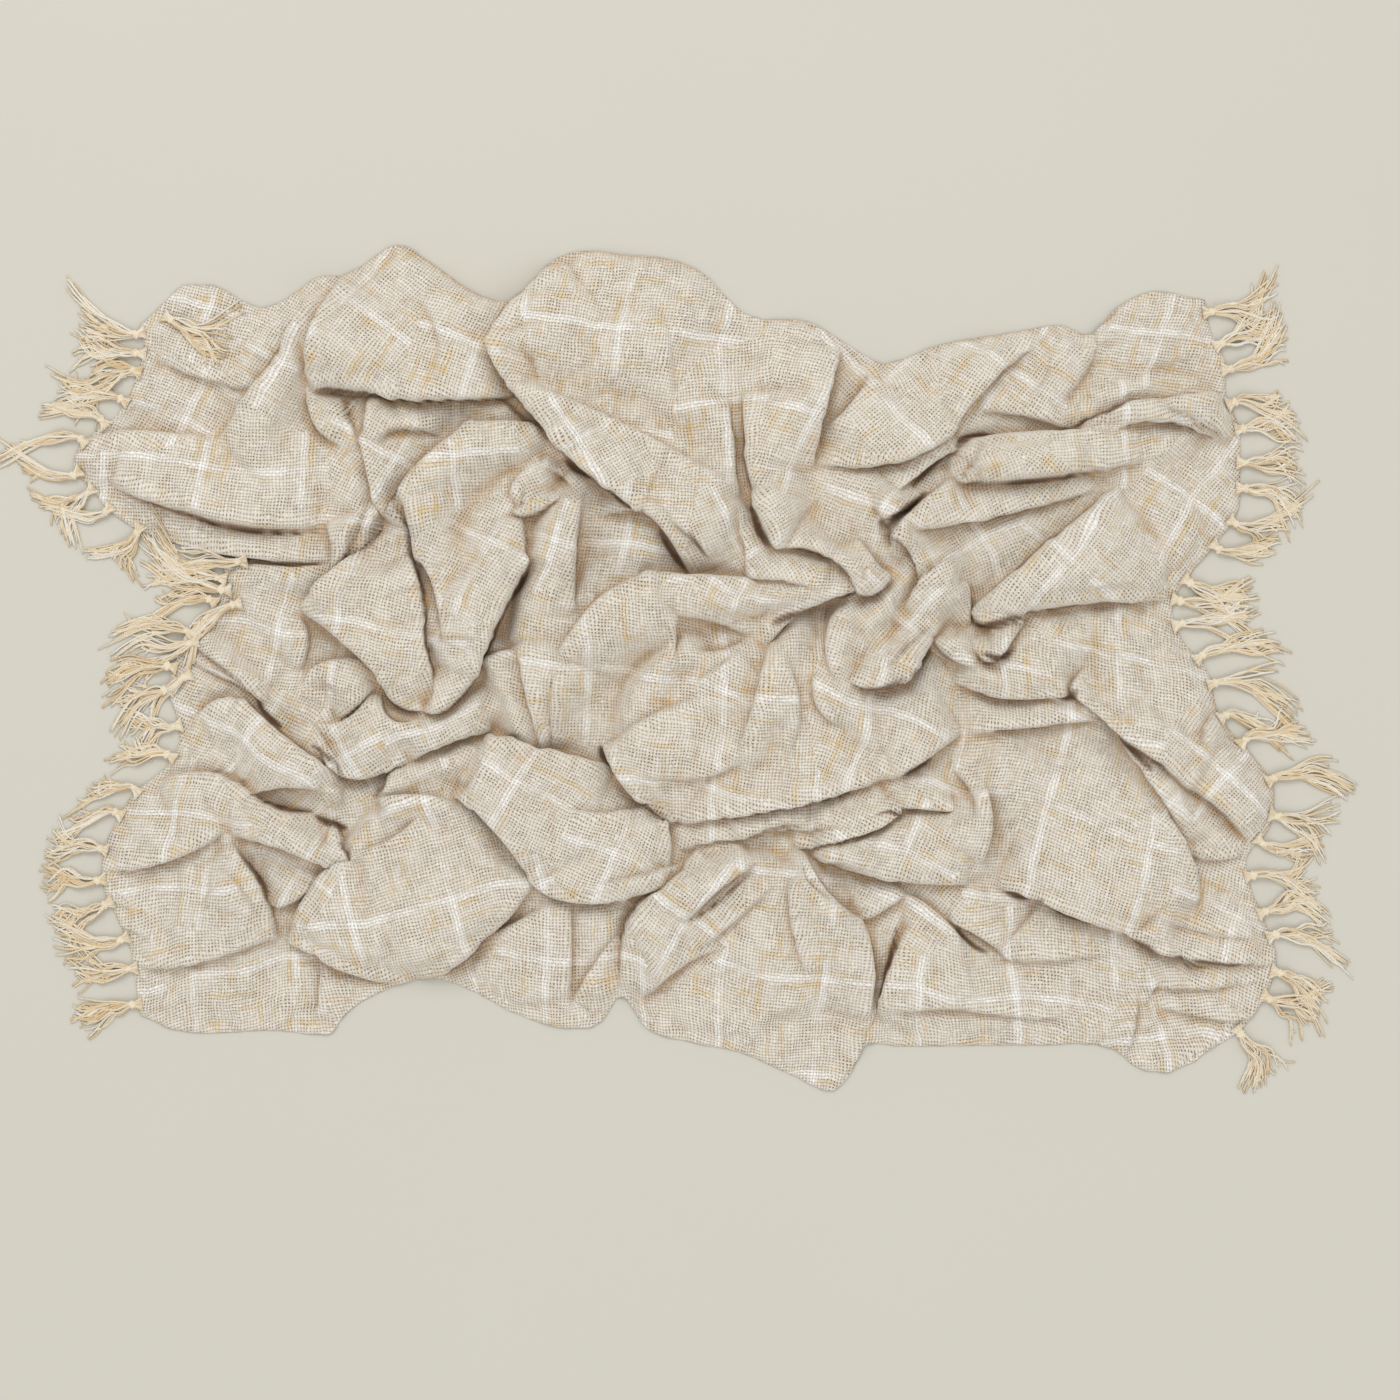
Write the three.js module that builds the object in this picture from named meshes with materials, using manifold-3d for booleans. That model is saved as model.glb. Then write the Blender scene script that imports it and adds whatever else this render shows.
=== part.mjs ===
// A crumpled throw blanket lying in a low heap on the floor, with knotted fringe at its two short ends.
// The cloth is one sheet whose heights come from a table of broad folds and a table of creases.
// Both tables give places on a plan grid whose zero is the back left corner, with x to the right
// and y to the front. Widths are in plan units and heights are in millimetres.
import * as THREE from "three";
import Module from "manifold-3d";
import { mergeVertices } from "three/addons/utils/BufferGeometryUtils.js";

const wasm = await Module();
wasm.setup();

// Sizes in millimetres
const PLAN_UNIT = 1.05;
const CLOTH_THICKNESS = 2.6;
const FLOOR_SINK = 11;
const HEAP_FLOOR = 9;
const HEAP_FILLING = 22;
const HEAP_LIMIT = 66;
const KNOT_LENGTH = 10;
const KNOT_BACK = { halfWidth: 4, height: 5 };
const KNOT_MIDDLE = { halfWidth: 6, height: 8 };
const KNOT_FRONT = { halfWidth: 5.4, height: 5 };
const KNOT_GAP = 0.3;
const STRAND_WIDTH = 1.6;
const STRAND_HEIGHT = 1.5;
const STRAND_PITCH = 2.6;
const STRAND_ROOT_DEPTH = 2.5;
const SHORTEST_STRAND = 24;

// Counts
const GRID_COLUMNS = 58;
const GRID_ROWS = 39;
const PATH_STEPS = 14;
const STRANDS = 4;

// Plan place of the part's origin, and the plan corners of the sheet
const PLAN_ORIGIN = { x: 678.51, y: 669.04 };
const CORNERS = {
  backLeft: [140, 325],
  backRight: [1205, 300],
  frontLeft: [140, 1015],
  frontRight: [1195, 1062],
};

// How quickly an edge's own shape fades towards the middle of the sheet
const EDGE_FADE = 4;

// Plan widths over which the sheet rounds down to the floor at its outline, and over which
// the layers under its folds fill it
const RIM_WIDTH = 24;
const FILLING_WIDTH = 130;

// Folds: reach beside their own half width, how full their round top is, and how closely
// neighbours blend
const FOLD_GROW = 1.38;
const FOLD_FULLNESS = 1.1;
const FOLD_BLEND = 3;

// Most that the upright thickness grows on a steep side
const MOST_STRETCH = 2.2;

// Least share of a straight piece of rim left beside a knot's place
const SEAT_MARGIN = 0.35;

// Crease profile: share of the stated step, dip beside it, how far the raised side fades out in
// half widths, where it ends, the dip's width, and how blunt its two ends are
const CREASE_GAIN = 1.3;
const CREASE_DIP = 0.4;
const CREASE_REACH = 2.6;
const CREASE_END = 6.5;
const CREASE_LOW_WIDTH = 1.5;
const CREASE_BLUNTNESS = 0.6;

// Plan distance over which the heap's height is averaged for the grid
const SOFTEN = 4.5;

// Knot's outline across, as shares of its half width and height, from the left of its flat foot
const KNOT_SHAPE = [[-0.6, 0], [-1, 0.4], [-0.6, 1], [0.6, 1], [1, 0.4], [0.6, 0]];

// Strands: share by which every next one is shorter, where they bend, and their spread and swing
const STRAND_STAGGER = 0.09;
const BEND_AT = 0.45;
const BEND_SPREAD = 1.3;
const BEND_SWING = 0.35;
const TIP_SPREAD = 1.7;
const TIP_TAPER = 0.8;

// Back edge of the outline: x, y
const BACK_EDGE = [
  [140, 325], [165, 302], [185, 286], [210, 286], [262, 308], [285, 300], [318, 278], [345, 275],
  [400, 246], [430, 262], [470, 290], [505, 302], [520, 292], [560, 257], [640, 256], [700, 272],
  [745, 314], [810, 323], [862, 354], [880, 364], [940, 345], [1010, 333], [1060, 326], [1090, 335],
  [1115, 310], [1155, 292], [1205, 300],
];

// Front edge of the outline: x, y
const FRONT_EDGE = [
  [140, 1015], [170, 1028], [210, 1033], [270, 1030], [330, 1033], [345, 1014], [385, 990], [430, 978],
  [460, 985], [520, 1015], [570, 1028], [600, 1022], [622, 996], [645, 1026], [690, 1042], [740, 1052],
  [790, 1074], [832, 1090], [852, 1070], [866, 1044], [900, 1046], [1040, 1045], [1115, 1050], [1135, 1066],
  [1165, 1072], [1195, 1062],
];

// Left end of the outline: x, y
const LEFT_EDGE = [
  [140, 325], [144, 345], [138, 372], [118, 414], [84, 442], [74, 465], [92, 490], [115, 515], [150, 535],
  [206, 552], [224, 566], [220, 592], [200, 622], [180, 650], [170, 690], [180, 735], [168, 765], [135, 793],
  [112, 830], [102, 862], [104, 888], [118, 920], [132, 955], [136, 985], [140, 1015],
];

// Right end of the outline: x, y
const RIGHT_EDGE = [
  [1205, 300], [1212, 335], [1225, 362], [1226, 395], [1238, 425], [1240, 480], [1236, 515], [1215, 545],
  [1190, 575], [1172, 606], [1182, 640], [1204, 665], [1222, 720], [1252, 755], [1274, 790], [1268, 830],
  [1246, 858], [1250, 885], [1264, 920], [1276, 958], [1268, 990], [1240, 1030], [1195, 1062],
];

// Broad folds: name, then x, y, half width and crown height at the start, at the middle and at the end
const FOLDS = [
  // Folds of the back left
  ["corner flap", 170, 325, 36, 9, 215, 320, 42, 13, 275, 345, 32, 12],
  ["upper left band", 135, 395, 28, 8, 190, 395, 46, 12, 255, 400, 34, 14],
  ["long left fold", 82, 458, 24, 18, 220, 475, 42, 30, 345, 480, 44, 34],
  ["left riser", 240, 440, 26, 22, 287, 365, 38, 28, 328, 300, 30, 20],
  ["upper flap", 352, 335, 44, 36, 420, 325, 72, 42, 490, 345, 44, 36],
  ["pocket floor", 420, 440, 34, 22, 405, 480, 26, 24, 392, 515, 10, 26],
  ["band under flap", 440, 410, 30, 26, 490, 410, 24, 30, 530, 425, 16, 30],
  ["round shoulder", 555, 445, 16, 40, 455, 470, 40, 48, 438, 560, 28, 44],
  ["shoulder foot", 438, 560, 24, 40, 430, 590, 18, 34, 432, 640, 14, 28],
  ["inner swirl", 540, 478, 18, 48, 492, 545, 34, 54, 465, 640, 34, 50],
  ["middle pleat", 590, 482, 16, 46, 555, 545, 28, 52, 535, 640, 22, 44],
  ["middle panel", 600, 520, 24, 30, 640, 555, 40, 36, 600, 610, 34, 32],
  ["top dome", 580, 320, 60, 32, 640, 335, 84, 44, 715, 400, 48, 36],
  ["dome left", 510, 345, 22, 26, 545, 330, 46, 34, 600, 360, 50, 38],
  ["diagonal roll", 522, 398, 20, 38, 605, 445, 46, 54, 690, 505, 46, 52],
  ["left notch panel", 240, 575, 22, 12, 290, 570, 26, 18, 330, 575, 24, 24],
  ["back fold", 330, 520, 16, 28, 345, 560, 22, 36, 330, 595, 16, 34],
  // Folds of the back right
  ["diagonal tail", 690, 505, 42, 50, 765, 560, 28, 48, 848, 590, 10, 38],
  ["top right panel", 795, 345, 46, 30, 785, 410, 44, 38, 780, 500, 30, 42],
  ["right of groove", 770, 500, 20, 40, 800, 545, 26, 44, 866, 585, 16, 38],
  ["right shoulder", 850, 420, 40, 26, 940, 395, 52, 32, 1030, 350, 26, 20],
  ["under shoulder", 830, 480, 26, 30, 880, 510, 34, 36, 870, 560, 24, 36],
  ["right hollow", 1010, 400, 34, 16, 1050, 365, 44, 22, 1085, 350, 34, 18],
  ["top right round", 1105, 345, 40, 16, 1160, 335, 52, 24, 1215, 340, 40, 12],
  ["roll two", 1090, 412, 20, 26, 1160, 400, 22, 26, 1235, 420, 20, 14],
  ["roll three", 968, 465, 18, 36, 1060, 460, 22, 38, 1180, 442, 18, 22],
  ["shaded panel", 940, 555, 34, 18, 1000, 550, 40, 22, 1070, 515, 24, 20],
  ["right flap", 985, 604, 10, 30, 1095, 548, 52, 44, 1195, 505, 62, 22],
  ["centre arch tail", 645, 612, 36, 56, 740, 594, 24, 50, 848, 598, 8, 40],
  ["knot finger", 945, 575, 28, 46, 925, 615, 24, 54, 885, 675, 10, 46],
  // Folds of the front left
  ["centre arch", 530, 720, 30, 42, 572, 650, 44, 54, 645, 612, 38, 56],
  ["arch left foot", 500, 655, 18, 42, 510, 690, 26, 46, 535, 735, 18, 42],
  ["body crest one", 690, 650, 16, 48, 650, 690, 22, 50, 640, 740, 20, 46],
  ["inner bottom", 520, 925, 48, 16, 540, 965, 62, 20, 555, 1000, 40, 10],
  ["inner bottom right", 600, 925, 26, 18, 605, 965, 26, 18, 590, 1005, 24, 10],
  ["oval lobe", 330, 925, 40, 30, 415, 890, 78, 46, 500, 885, 38, 34],
  ["oval crest", 345, 862, 16, 32, 420, 805, 22, 42, 470, 830, 24, 44],
  ["middle lobe", 490, 775, 32, 44, 565, 820, 62, 52, 635, 850, 42, 40],
  ["left of lobe", 395, 785, 14, 36, 440, 768, 24, 42, 495, 755, 22, 44],
  ["bent fold", 370, 740, 24, 34, 430, 722, 26, 40, 480, 708, 20, 42],
  ["crossed panel", 322, 607, 18, 32, 380, 620, 52, 46, 425, 680, 22, 42],
  ["lower swirl", 470, 640, 24, 46, 455, 670, 22, 44, 440, 695, 14, 40],
  ["under panel", 315, 685, 18, 24, 345, 680, 32, 30, 370, 675, 16, 28],
  ["left inner", 255, 590, 30, 14, 280, 630, 36, 20, 300, 680, 26, 20],
  ["left edge panel", 190, 690, 26, 10, 215, 670, 28, 12, 250, 700, 20, 14],
  ["left mid lobe", 205, 755, 30, 20, 262, 748, 40, 32, 335, 790, 14, 28],
  ["left low lobe", 130, 830, 34, 14, 205, 815, 38, 32, 330, 858, 18, 28],
  ["left low panel", 120, 915, 32, 10, 200, 885, 44, 28, 250, 900, 30, 22],
  ["low left corner", 150, 990, 34, 8, 240, 990, 44, 12, 325, 1005, 30, 10],
  // Folds of the front right
  ["centre body", 640, 750, 40, 38, 755, 700, 72, 50, 900, 705, 60, 46],
  ["body crest two", 790, 625, 18, 46, 775, 680, 24, 54, 745, 745, 20, 48],
  ["body crest three", 845, 615, 16, 48, 838, 670, 24, 54, 860, 720, 22, 48],
  ["knot left", 905, 575, 20, 44, 872, 620, 26, 52, 885, 672, 14, 44],
  ["knot lobe", 1050, 640, 28, 38, 1010, 660, 34, 44, 955, 645, 18, 42],
  ["lobe edge", 1080, 620, 22, 30, 1065, 660, 26, 36, 1060, 690, 14, 34],
  ["right panel", 1115, 628, 28, 28, 1150, 680, 52, 34, 1215, 770, 30, 24],
  ["right lobe", 1215, 735, 24, 16, 1240, 790, 38, 24, 1258, 825, 20, 14],
  ["under strip", 1120, 735, 10, 22, 1180, 800, 24, 22, 1238, 842, 16, 12],
  ["big right panel", 1010, 780, 34, 38, 1085, 830, 76, 46, 1150, 890, 44, 32],
  ["right corner panel", 1205, 875, 34, 12, 1235, 915, 44, 18, 1265, 950, 24, 10],
  ["bottom right", 890, 1010, 36, 14, 1000, 995, 52, 22, 1115, 1005, 44, 14],
  ["bottom right tip", 1140, 1040, 24, 10, 1160, 1045, 28, 12, 1180, 1045, 24, 8],
  ["mid right lobe", 830, 852, 10, 30, 900, 845, 32, 42, 955, 838, 38, 46],
  ["bottom flap", 790, 885, 24, 36, 765, 965, 84, 34, 790, 1050, 62, 12],
  ["flap left roll", 762, 866, 14, 38, 690, 905, 30, 40, 640, 975, 26, 20],
  ["flap right ridge", 798, 862, 10, 40, 830, 915, 24, 38, 845, 1000, 26, 18],
];

// Creases: name, then x and y at the start, the middle and the end, the height of the step, the half
// width of the step and the side that stands high, as a compass point with the back as north
const CREASES = [
  // Creases of the back left
  ["riser left", 216, 440, 262, 378, 318, 285, 12, 16, "E"],
  ["riser right", 342, 278, 319, 330, 310, 390, 14, 14, "E"],
  ["flap hem west", 316, 392, 350, 390, 400, 399, 20, 14, "N"],
  ["flap hem east", 380, 398, 450, 401, 517, 394, 22, 14, "N"],
  ["long fold hem", 112, 486, 215, 517, 318, 526, 17, 14, "N"],
  ["left roll hem", 160, 543, 235, 553, 326, 560, 16, 12, "N"],
  ["flap fold edge", 309, 386, 319, 428, 342, 446, 12, 10, "E"],
  ["pocket ridge edge", 362, 436, 371, 484, 383, 520, 14, 10, "E"],
  ["shoulder edge", 475, 424, 424, 466, 385, 521, 22, 14, "SE"],
  ["roll hem one", 488, 340, 512, 392, 562, 458, 24, 16, "NE"],
  ["roll hem two", 548, 436, 590, 482, 640, 512, 26, 14, "NE"],
  ["dome left edge", 560, 256, 515, 298, 489, 345, 16, 18, "E"],
  ["roll hem three", 630, 508, 662, 532, 692, 575, 18, 12, "NE"],
  ["arch top", 562, 652, 604, 598, 660, 577, 18, 16, "SE"],
  ["swirl right", 532, 560, 506, 612, 476, 678, 24, 13, "W"],
  ["crossed upper", 304, 606, 334, 576, 384, 526, 13, 12, "SE"],
  ["foot divide", 406, 556, 420, 588, 426, 624, 13, 10, "W"],
  ["shoulder left", 410, 500, 411, 530, 412, 566, 15, 13, "E"],
  ["bridge edge", 372, 500, 378, 530, 352, 562, 13, 10, "W"],
  ["swirl eye edge", 512, 514, 530, 520, 566, 496, 12, 8, "N"],
  ["swirl inner edge", 522, 520, 526, 548, 530, 580, 12, 9, "W"],
  ["pleat edge", 584, 500, 578, 550, 578, 612, 12, 12, "W"],
  // Creases of the back right
  ["arch top east", 640, 577, 690, 574, 752, 577, 14, 12, "S"],
  ["arch tail hem", 858, 594, 806, 610, 762, 648, 17, 12, "N"],
  ["flap upper edge", 972, 610, 1040, 550, 1112, 488, 18, 18, "SE"],
  ["flap lower edge", 1000, 616, 1080, 608, 1168, 600, 14, 13, "N"],
  ["shoulder hem", 818, 464, 900, 462, 962, 424, 14, 14, "N"],
  ["slope strip hem", 900, 492, 932, 466, 964, 446, 15, 10, "N"],
  ["roll three top", 956, 450, 1000, 437, 1105, 434, 12, 11, "S"],
  ["roll two top", 1075, 432, 1130, 405, 1225, 394, 12, 11, "S"],
  ["roll two hem", 1110, 436, 1165, 425, 1226, 446, 13, 11, "N"],
  ["roll three hem", 958, 478, 1000, 486, 1142, 465, 13, 10, "N"],
  ["roll four top", 886, 541, 910, 514, 952, 480, 12, 9, "SE"],
  ["roll four foot", 884, 534, 904, 552, 916, 592, 12, 9, "E"],
  ["roll four hem", 912, 531, 985, 522, 1092, 494, 13, 12, "N"],
  ["groove", 742, 392, 746, 450, 756, 512, 15, 14, "E"],
  ["groove deep", 750, 488, 760, 524, 778, 547, 20, 12, "E"],
  ["groove hem", 768, 545, 820, 556, 851, 594, 17, 12, "NE"],
  ["groove end", 848, 593, 868, 594, 886, 574, 14, 9, "N"],
  ["crest edge", 840, 352, 826, 408, 815, 470, 15, 11, "W"],
  ["shoulder start", 870, 376, 852, 404, 831, 426, 12, 12, "E"],
  // Creases of the front left
  ["middle lobe top", 484, 731, 545, 745, 614, 763, 16, 14, "S"],
  ["bent fold hem", 412, 758, 446, 742, 490, 731, 16, 12, "N"],
  ["body left", 604, 742, 628, 786, 672, 826, 20, 15, "E"],
  ["flap side edge", 664, 888, 628, 924, 620, 990, 14, 13, "E"],
  ["middle lobe left", 454, 796, 494, 826, 535, 882, 19, 14, "NE"],
  ["middle lobe hem", 525, 876, 580, 902, 668, 886, 15, 12, "N"],
  ["middle lobe right", 642, 796, 668, 820, 668, 864, 13, 11, "W"],
  ["oval hem west", 284, 940, 340, 968, 404, 987, 15, 13, "N"],
  ["oval hem east", 396, 988, 465, 960, 534, 882, 15, 14, "NW"],
  ["crossed lower", 302, 608, 350, 645, 390, 684, 16, 12, "NE"],
  ["crossed tip", 380, 672, 400, 700, 430, 706, 14, 10, "NE"],
  ["crossed right", 424, 618, 430, 650, 438, 694, 13, 10, "W"],
  ["swirl hem", 424, 706, 450, 704, 482, 664, 17, 10, "NW"],
  ["left mid edge", 244, 700, 280, 726, 348, 778, 15, 11, "SW"],
  ["curl hem", 322, 744, 352, 776, 414, 757, 17, 11, "N"],
  ["left mid hem", 252, 798, 286, 787, 322, 788, 13, 10, "N"],
  ["left low hem", 106, 872, 165, 862, 228, 834, 12, 12, "N"],
  ["left low hem east", 232, 837, 285, 849, 336, 873, 13, 10, "N"],
  ["low panel edge", 232, 842, 262, 886, 278, 942, 14, 11, "W"],
  ["small hole", 326, 824, 338, 826, 350, 862, 12, 8, "W"],
  ["dark nook", 382, 768, 388, 782, 376, 800, 14, 8, "E"],
  // Creases of the front right
  ["body hem", 672, 822, 780, 806, 905, 770, 15, 13, "N"],
  ["body hem east", 895, 774, 930, 755, 965, 733, 14, 12, "N"],
  ["roll lower hem", 796, 853, 866, 830, 902, 808, 18, 11, "N"],
  ["roll lower east", 890, 812, 915, 807, 950, 808, 12, 9, "N"],
  ["strip hem", 968, 734, 1030, 731, 1108, 721, 12, 10, "N"],
  ["strip top", 955, 683, 1005, 698, 1068, 697, 14, 10, "N"],
  ["knot hem", 852, 681, 888, 687, 922, 664, 20, 11, "N"],
  ["knot roll edge", 902, 684, 922, 663, 933, 638, 17, 9, "NW"],
  ["hook edge", 974, 638, 995, 660, 1029, 615, 16, 9, "N"],
  ["hook mouth", 972, 608, 992, 626, 1030, 614, 12, 8, "N"],
  ["panel tuck", 1088, 668, 1070, 692, 1094, 713, 12, 9, "E"],
  ["right panel edge", 1086, 708, 1130, 745, 1192, 786, 15, 12, "NE"],
  ["right lobe edge", 1176, 778, 1215, 806, 1254, 850, 12, 12, "NE"],
  ["big panel hem", 995, 884, 1060, 910, 1132, 935, 16, 14, "N"],
  ["big panel hem east", 1118, 930, 1165, 955, 1282, 966, 13, 11, "N"],
  ["pocket by rim", 986, 786, 990, 826, 978, 860, 17, 10, "W"],
  ["big panel right", 1160, 812, 1188, 856, 1194, 904, 13, 13, "W"],
  ["mid lobe hem", 808, 852, 870, 876, 968, 882, 14, 12, "N"],
  ["jumble tuck", 946, 918, 978, 934, 1008, 957, 12, 9, "NE"],
  ["gap left", 862, 912, 870, 965, 866, 1016, 14, 12, "W"],
  ["gap right", 908, 922, 888, 965, 872, 1016, 12, 12, "E"],
  ["flap roll edge", 754, 866, 722, 888, 682, 922, 13, 9, "NW"],
];

// Tassels: end of the sheet, y of its place on that end, then the plan place its longest strand points to
const TASSELS = [
  ["left", 334, 70, 316],
  ["left", 356, 72, 344],
  ["left", 374, 90, 372],
  ["left", 402, 52, 384],
  ["left", 424, 44, 404],
  ["left", 447, 12, 440],
  ["left", 468, 14, 470],
  ["left", 488, 36, 500],
  ["left", 509, 52, 526],
  ["left", 529, 92, 556],
  ["left", 578, 150, 576],
  ["left", 606, 138, 596],
  ["left", 634, 118, 626],
  ["left", 662, 106, 676],
  ["left", 694, 112, 712],
  ["left", 726, 118, 738],
  ["left", 757, 104, 762],
  ["left", 790, 66, 790],
  ["left", 820, 56, 826],
  ["left", 850, 42, 848],
  ["left", 878, 36, 880],
  ["left", 908, 48, 916],
  ["left", 938, 62, 952],
  ["left", 968, 70, 984],
  ["left", 998, 72, 1036],
  ["right", 318, 1280, 300],
  ["right", 342, 1286, 334],
  ["right", 370, 1296, 366],
  ["right", 402, 1298, 400],
  ["right", 432, 1300, 432],
  ["right", 462, 1308, 464],
  ["right", 492, 1308, 496],
  ["right", 520, 1300, 530],
  ["right", 546, 1280, 562],
  ["right", 574, 1262, 592],
  ["right", 598, 1254, 610],
  ["right", 630, 1262, 640],
  ["right", 658, 1286, 672],
  ["right", 686, 1292, 694],
  ["right", 716, 1300, 710],
  ["right", 746, 1318, 740],
  ["right", 780, 1346, 772],
  ["right", 812, 1344, 812],
  ["right", 843, 1318, 852],
  ["right", 876, 1314, 882],
  ["right", 906, 1328, 912],
  ["right", 936, 1342, 938],
  ["right", 968, 1340, 984],
  ["right", 1000, 1312, 1032],
  ["right", 1030, 1272, 1086],
];

const COMPASS = {
  N: [0, -1],
  S: [0, 1],
  E: [1, 0],
  W: [-1, 0],
  NE: [1, -1],
  NW: [-1, -1],
  SE: [1, 1],
  SW: [-1, 1],
};

const clamp = (value, low, high) => Math.min(high, Math.max(low, value));
const mix = (from, to, share) => from + (to - from) * share;

// Value at a share of the way along three stations, on the parabola through them
const through = (start, middle, end, share) =>
  start * (1 - share) * (1 - 2 * share) + middle * 4 * share * (1 - share) + end * share * (2 * share - 1);

// Samples a path through three stations, each a list of the same values
const samplePath = (start, middle, end) =>
  Array.from({ length: PATH_STEPS + 1 }, (_, step) =>
    start.map((value, index) => through(value, middle[index], end[index], step / PATH_STEPS)));

// Nearest place on a sampled path: its distance, the side it is passed on, and the step it is at
function nearestOnPath(path, x, y) {
  let nearest = { distance: Infinity, side: 1, at: 0 };
  for (let step = 0; step < path.length - 1; step += 1) {
    const [fromX, fromY] = path[step];
    const runX = path[step + 1][0] - fromX;
    const runY = path[step + 1][1] - fromY;
    const share = clamp(((x - fromX) * runX + (y - fromY) * runY) / (runX * runX + runY * runY), 0, 1);
    const offX = x - fromX - share * runX;
    const offY = y - fromY - share * runY;
    const distance = Math.hypot(offX, offY);
    if (distance < nearest.distance) {
      nearest = { distance, side: Math.sign(runX * offY - runY * offX), at: step + share };
    }
  }
  return nearest;
}

// Value of one column of a sampled path between two of its samples
function pathValue(path, at, column) {
  const step = Math.min(Math.floor(at), path.length - 2);
  return mix(path[step][column], path[step + 1][column], at - step);
}

const foldPaths = FOLDS.map(([, ...values]) => ({
  path: samplePath(values.slice(0, 4), values.slice(4, 8), values.slice(8, 12)),
}));

const creasePaths = CREASES.map(([, ax, ay, bx, by, cx, cy, step, halfWidth, high]) => {
  const [highX, highY] = COMPASS[high];
  return {
    path: samplePath([ax, ay], [bx, by], [cx, cy]),
    step,
    halfWidth,
    highSide: Math.sign((cx - ax) * highY - (cy - ay) * highX),
  };
});

// Height of one broad fold: a soft dome across its line
function foldHeight({ path }, x, y) {
  const { distance, at } = nearestOnPath(path, x, y);
  const reach = pathValue(path, at, 2) * FOLD_GROW;
  const across = distance / reach;
  return across >= 1 ? 0 : pathValue(path, at, 3) * (1 - across * across) ** FOLD_FULLNESS;
}

// Height that one crease adds: a round step up on its high side and a shallow dip on its low side
function creaseHeight({ path, step, halfWidth, highSide }, x, y) {
  const { distance, side, at } = nearestOnPath(path, x, y);
  if (distance > halfWidth * CREASE_END) {
    return 0;
  }
  const strength = CREASE_GAIN * step * Math.sin((Math.PI * at) / PATH_STEPS) ** CREASE_BLUNTNESS;
  if (side !== highSide) {
    return -strength * CREASE_DIP * Math.exp(-((distance / (halfWidth * CREASE_LOW_WIDTH)) ** 2));
  }
  const climb = Math.sqrt(1 - (1 - Math.min(distance / halfWidth, 1)) ** 2);
  const fade = Math.exp(-((Math.max(distance - halfWidth, 0) / (halfWidth * CREASE_REACH)) ** 2));
  return strength * (climb * (1 + CREASE_DIP) - CREASE_DIP) * fade;
}

const outline = [...BACK_EDGE, ...RIGHT_EDGE, ...FRONT_EDGE.slice().reverse(), ...LEFT_EDGE.slice().reverse()]
  .filter(([x, y], index, all) => index === 0 || x !== all[index - 1][0] || y !== all[index - 1][1]);

// Share of the full height that is left near the outline, round like the side of a folded edge
function rimShare(inward) {
  return Math.sqrt(1 - (1 - clamp(inward / RIM_WIDTH, 0, 1)) ** 2);
}

// Height of the layers under the folds, which grows from the outline inwards
function fillingHeight(inward) {
  const share = clamp(inward / FILLING_WIDTH, 0, 1);
  return mix(HEAP_FLOOR, HEAP_FILLING, share * share * (3 - 2 * share));
}

// Height of the heap at one place, before the cloth's own thickness
function heapHeight(x, y, inward) {
  const filling = fillingHeight(inward) ** FOLD_BLEND;
  const blended = foldPaths.reduce((sum, fold) => sum + foldHeight(fold, x, y) ** FOLD_BLEND, filling);
  const broad = HEAP_LIMIT * Math.tanh(blended ** (1 / FOLD_BLEND) / HEAP_LIMIT);
  const creased = creasePaths.reduce((sum, crease) => sum + creaseHeight(crease, x, y), broad);
  return Math.max(creased, 0);
}

// Heap height averaged over a small square, so that the grid of the sheet follows it evenly
function softHeight(x, y, inward) {
  const offsets = [-SOFTEN, 0, SOFTEN];
  const heights = offsets.flatMap((offX) => offsets.map((offY) => heapHeight(x + offX, y + offY, inward)));
  return heights.reduce((sum, height) => sum + height, 0) / heights.length;
}

// Value of an edge curve, given as pairs, at one position along it
function edgeValue(pairs, position) {
  const next = clamp(pairs.findIndex(([key]) => key >= position), 1, pairs.length - 1);
  const [fromKey, fromValue] = pairs[next - 1];
  const [toKey, toValue] = pairs[next];
  return mix(fromValue, toValue, clamp((position - fromKey) / (toKey - fromKey), 0, 1));
}

const swapPair = ([x, y]) => [y, x];

// Plan place of a point of the sheet, from its share across (left to right) and down (back to front)
function planPoint(across, down) {
  const { backLeft, backRight, frontLeft, frontRight } = CORNERS;
  const leftY = mix(backLeft[1], frontLeft[1], down);
  const rightY = mix(backRight[1], frontRight[1], down);
  const backX = mix(backLeft[0], backRight[0], across);
  const frontX = mix(frontLeft[0], frontRight[0], across);
  const flatBackY = mix(backLeft[1], backRight[1], across);
  const flatFrontY = mix(frontLeft[1], frontRight[1], across);
  const leftShift = edgeValue(LEFT_EDGE.map(swapPair), leftY) - mix(backLeft[0], frontLeft[0], down);
  const rightShift = edgeValue(RIGHT_EDGE.map(swapPair), rightY) - mix(backRight[0], frontRight[0], down);
  const backShift = edgeValue(BACK_EDGE, backX) - flatBackY;
  const frontShift = edgeValue(FRONT_EDGE, frontX) - flatFrontY;
  return {
    x: mix(backX, frontX, down)
      + leftShift * (1 - across) ** EDGE_FADE
      + rightShift * across ** EDGE_FADE,
    y: mix(flatBackY, flatFrontY, down)
      + backShift * (1 - down) ** EDGE_FADE
      + frontShift * down ** EDGE_FADE,
  };
}

const toPart = ({ x, y }) => ({
  x: (x - PLAN_ORIGIN.x) * PLAN_UNIT,
  y: (PLAN_ORIGIN.y - y) * PLAN_UNIT,
});

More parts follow.
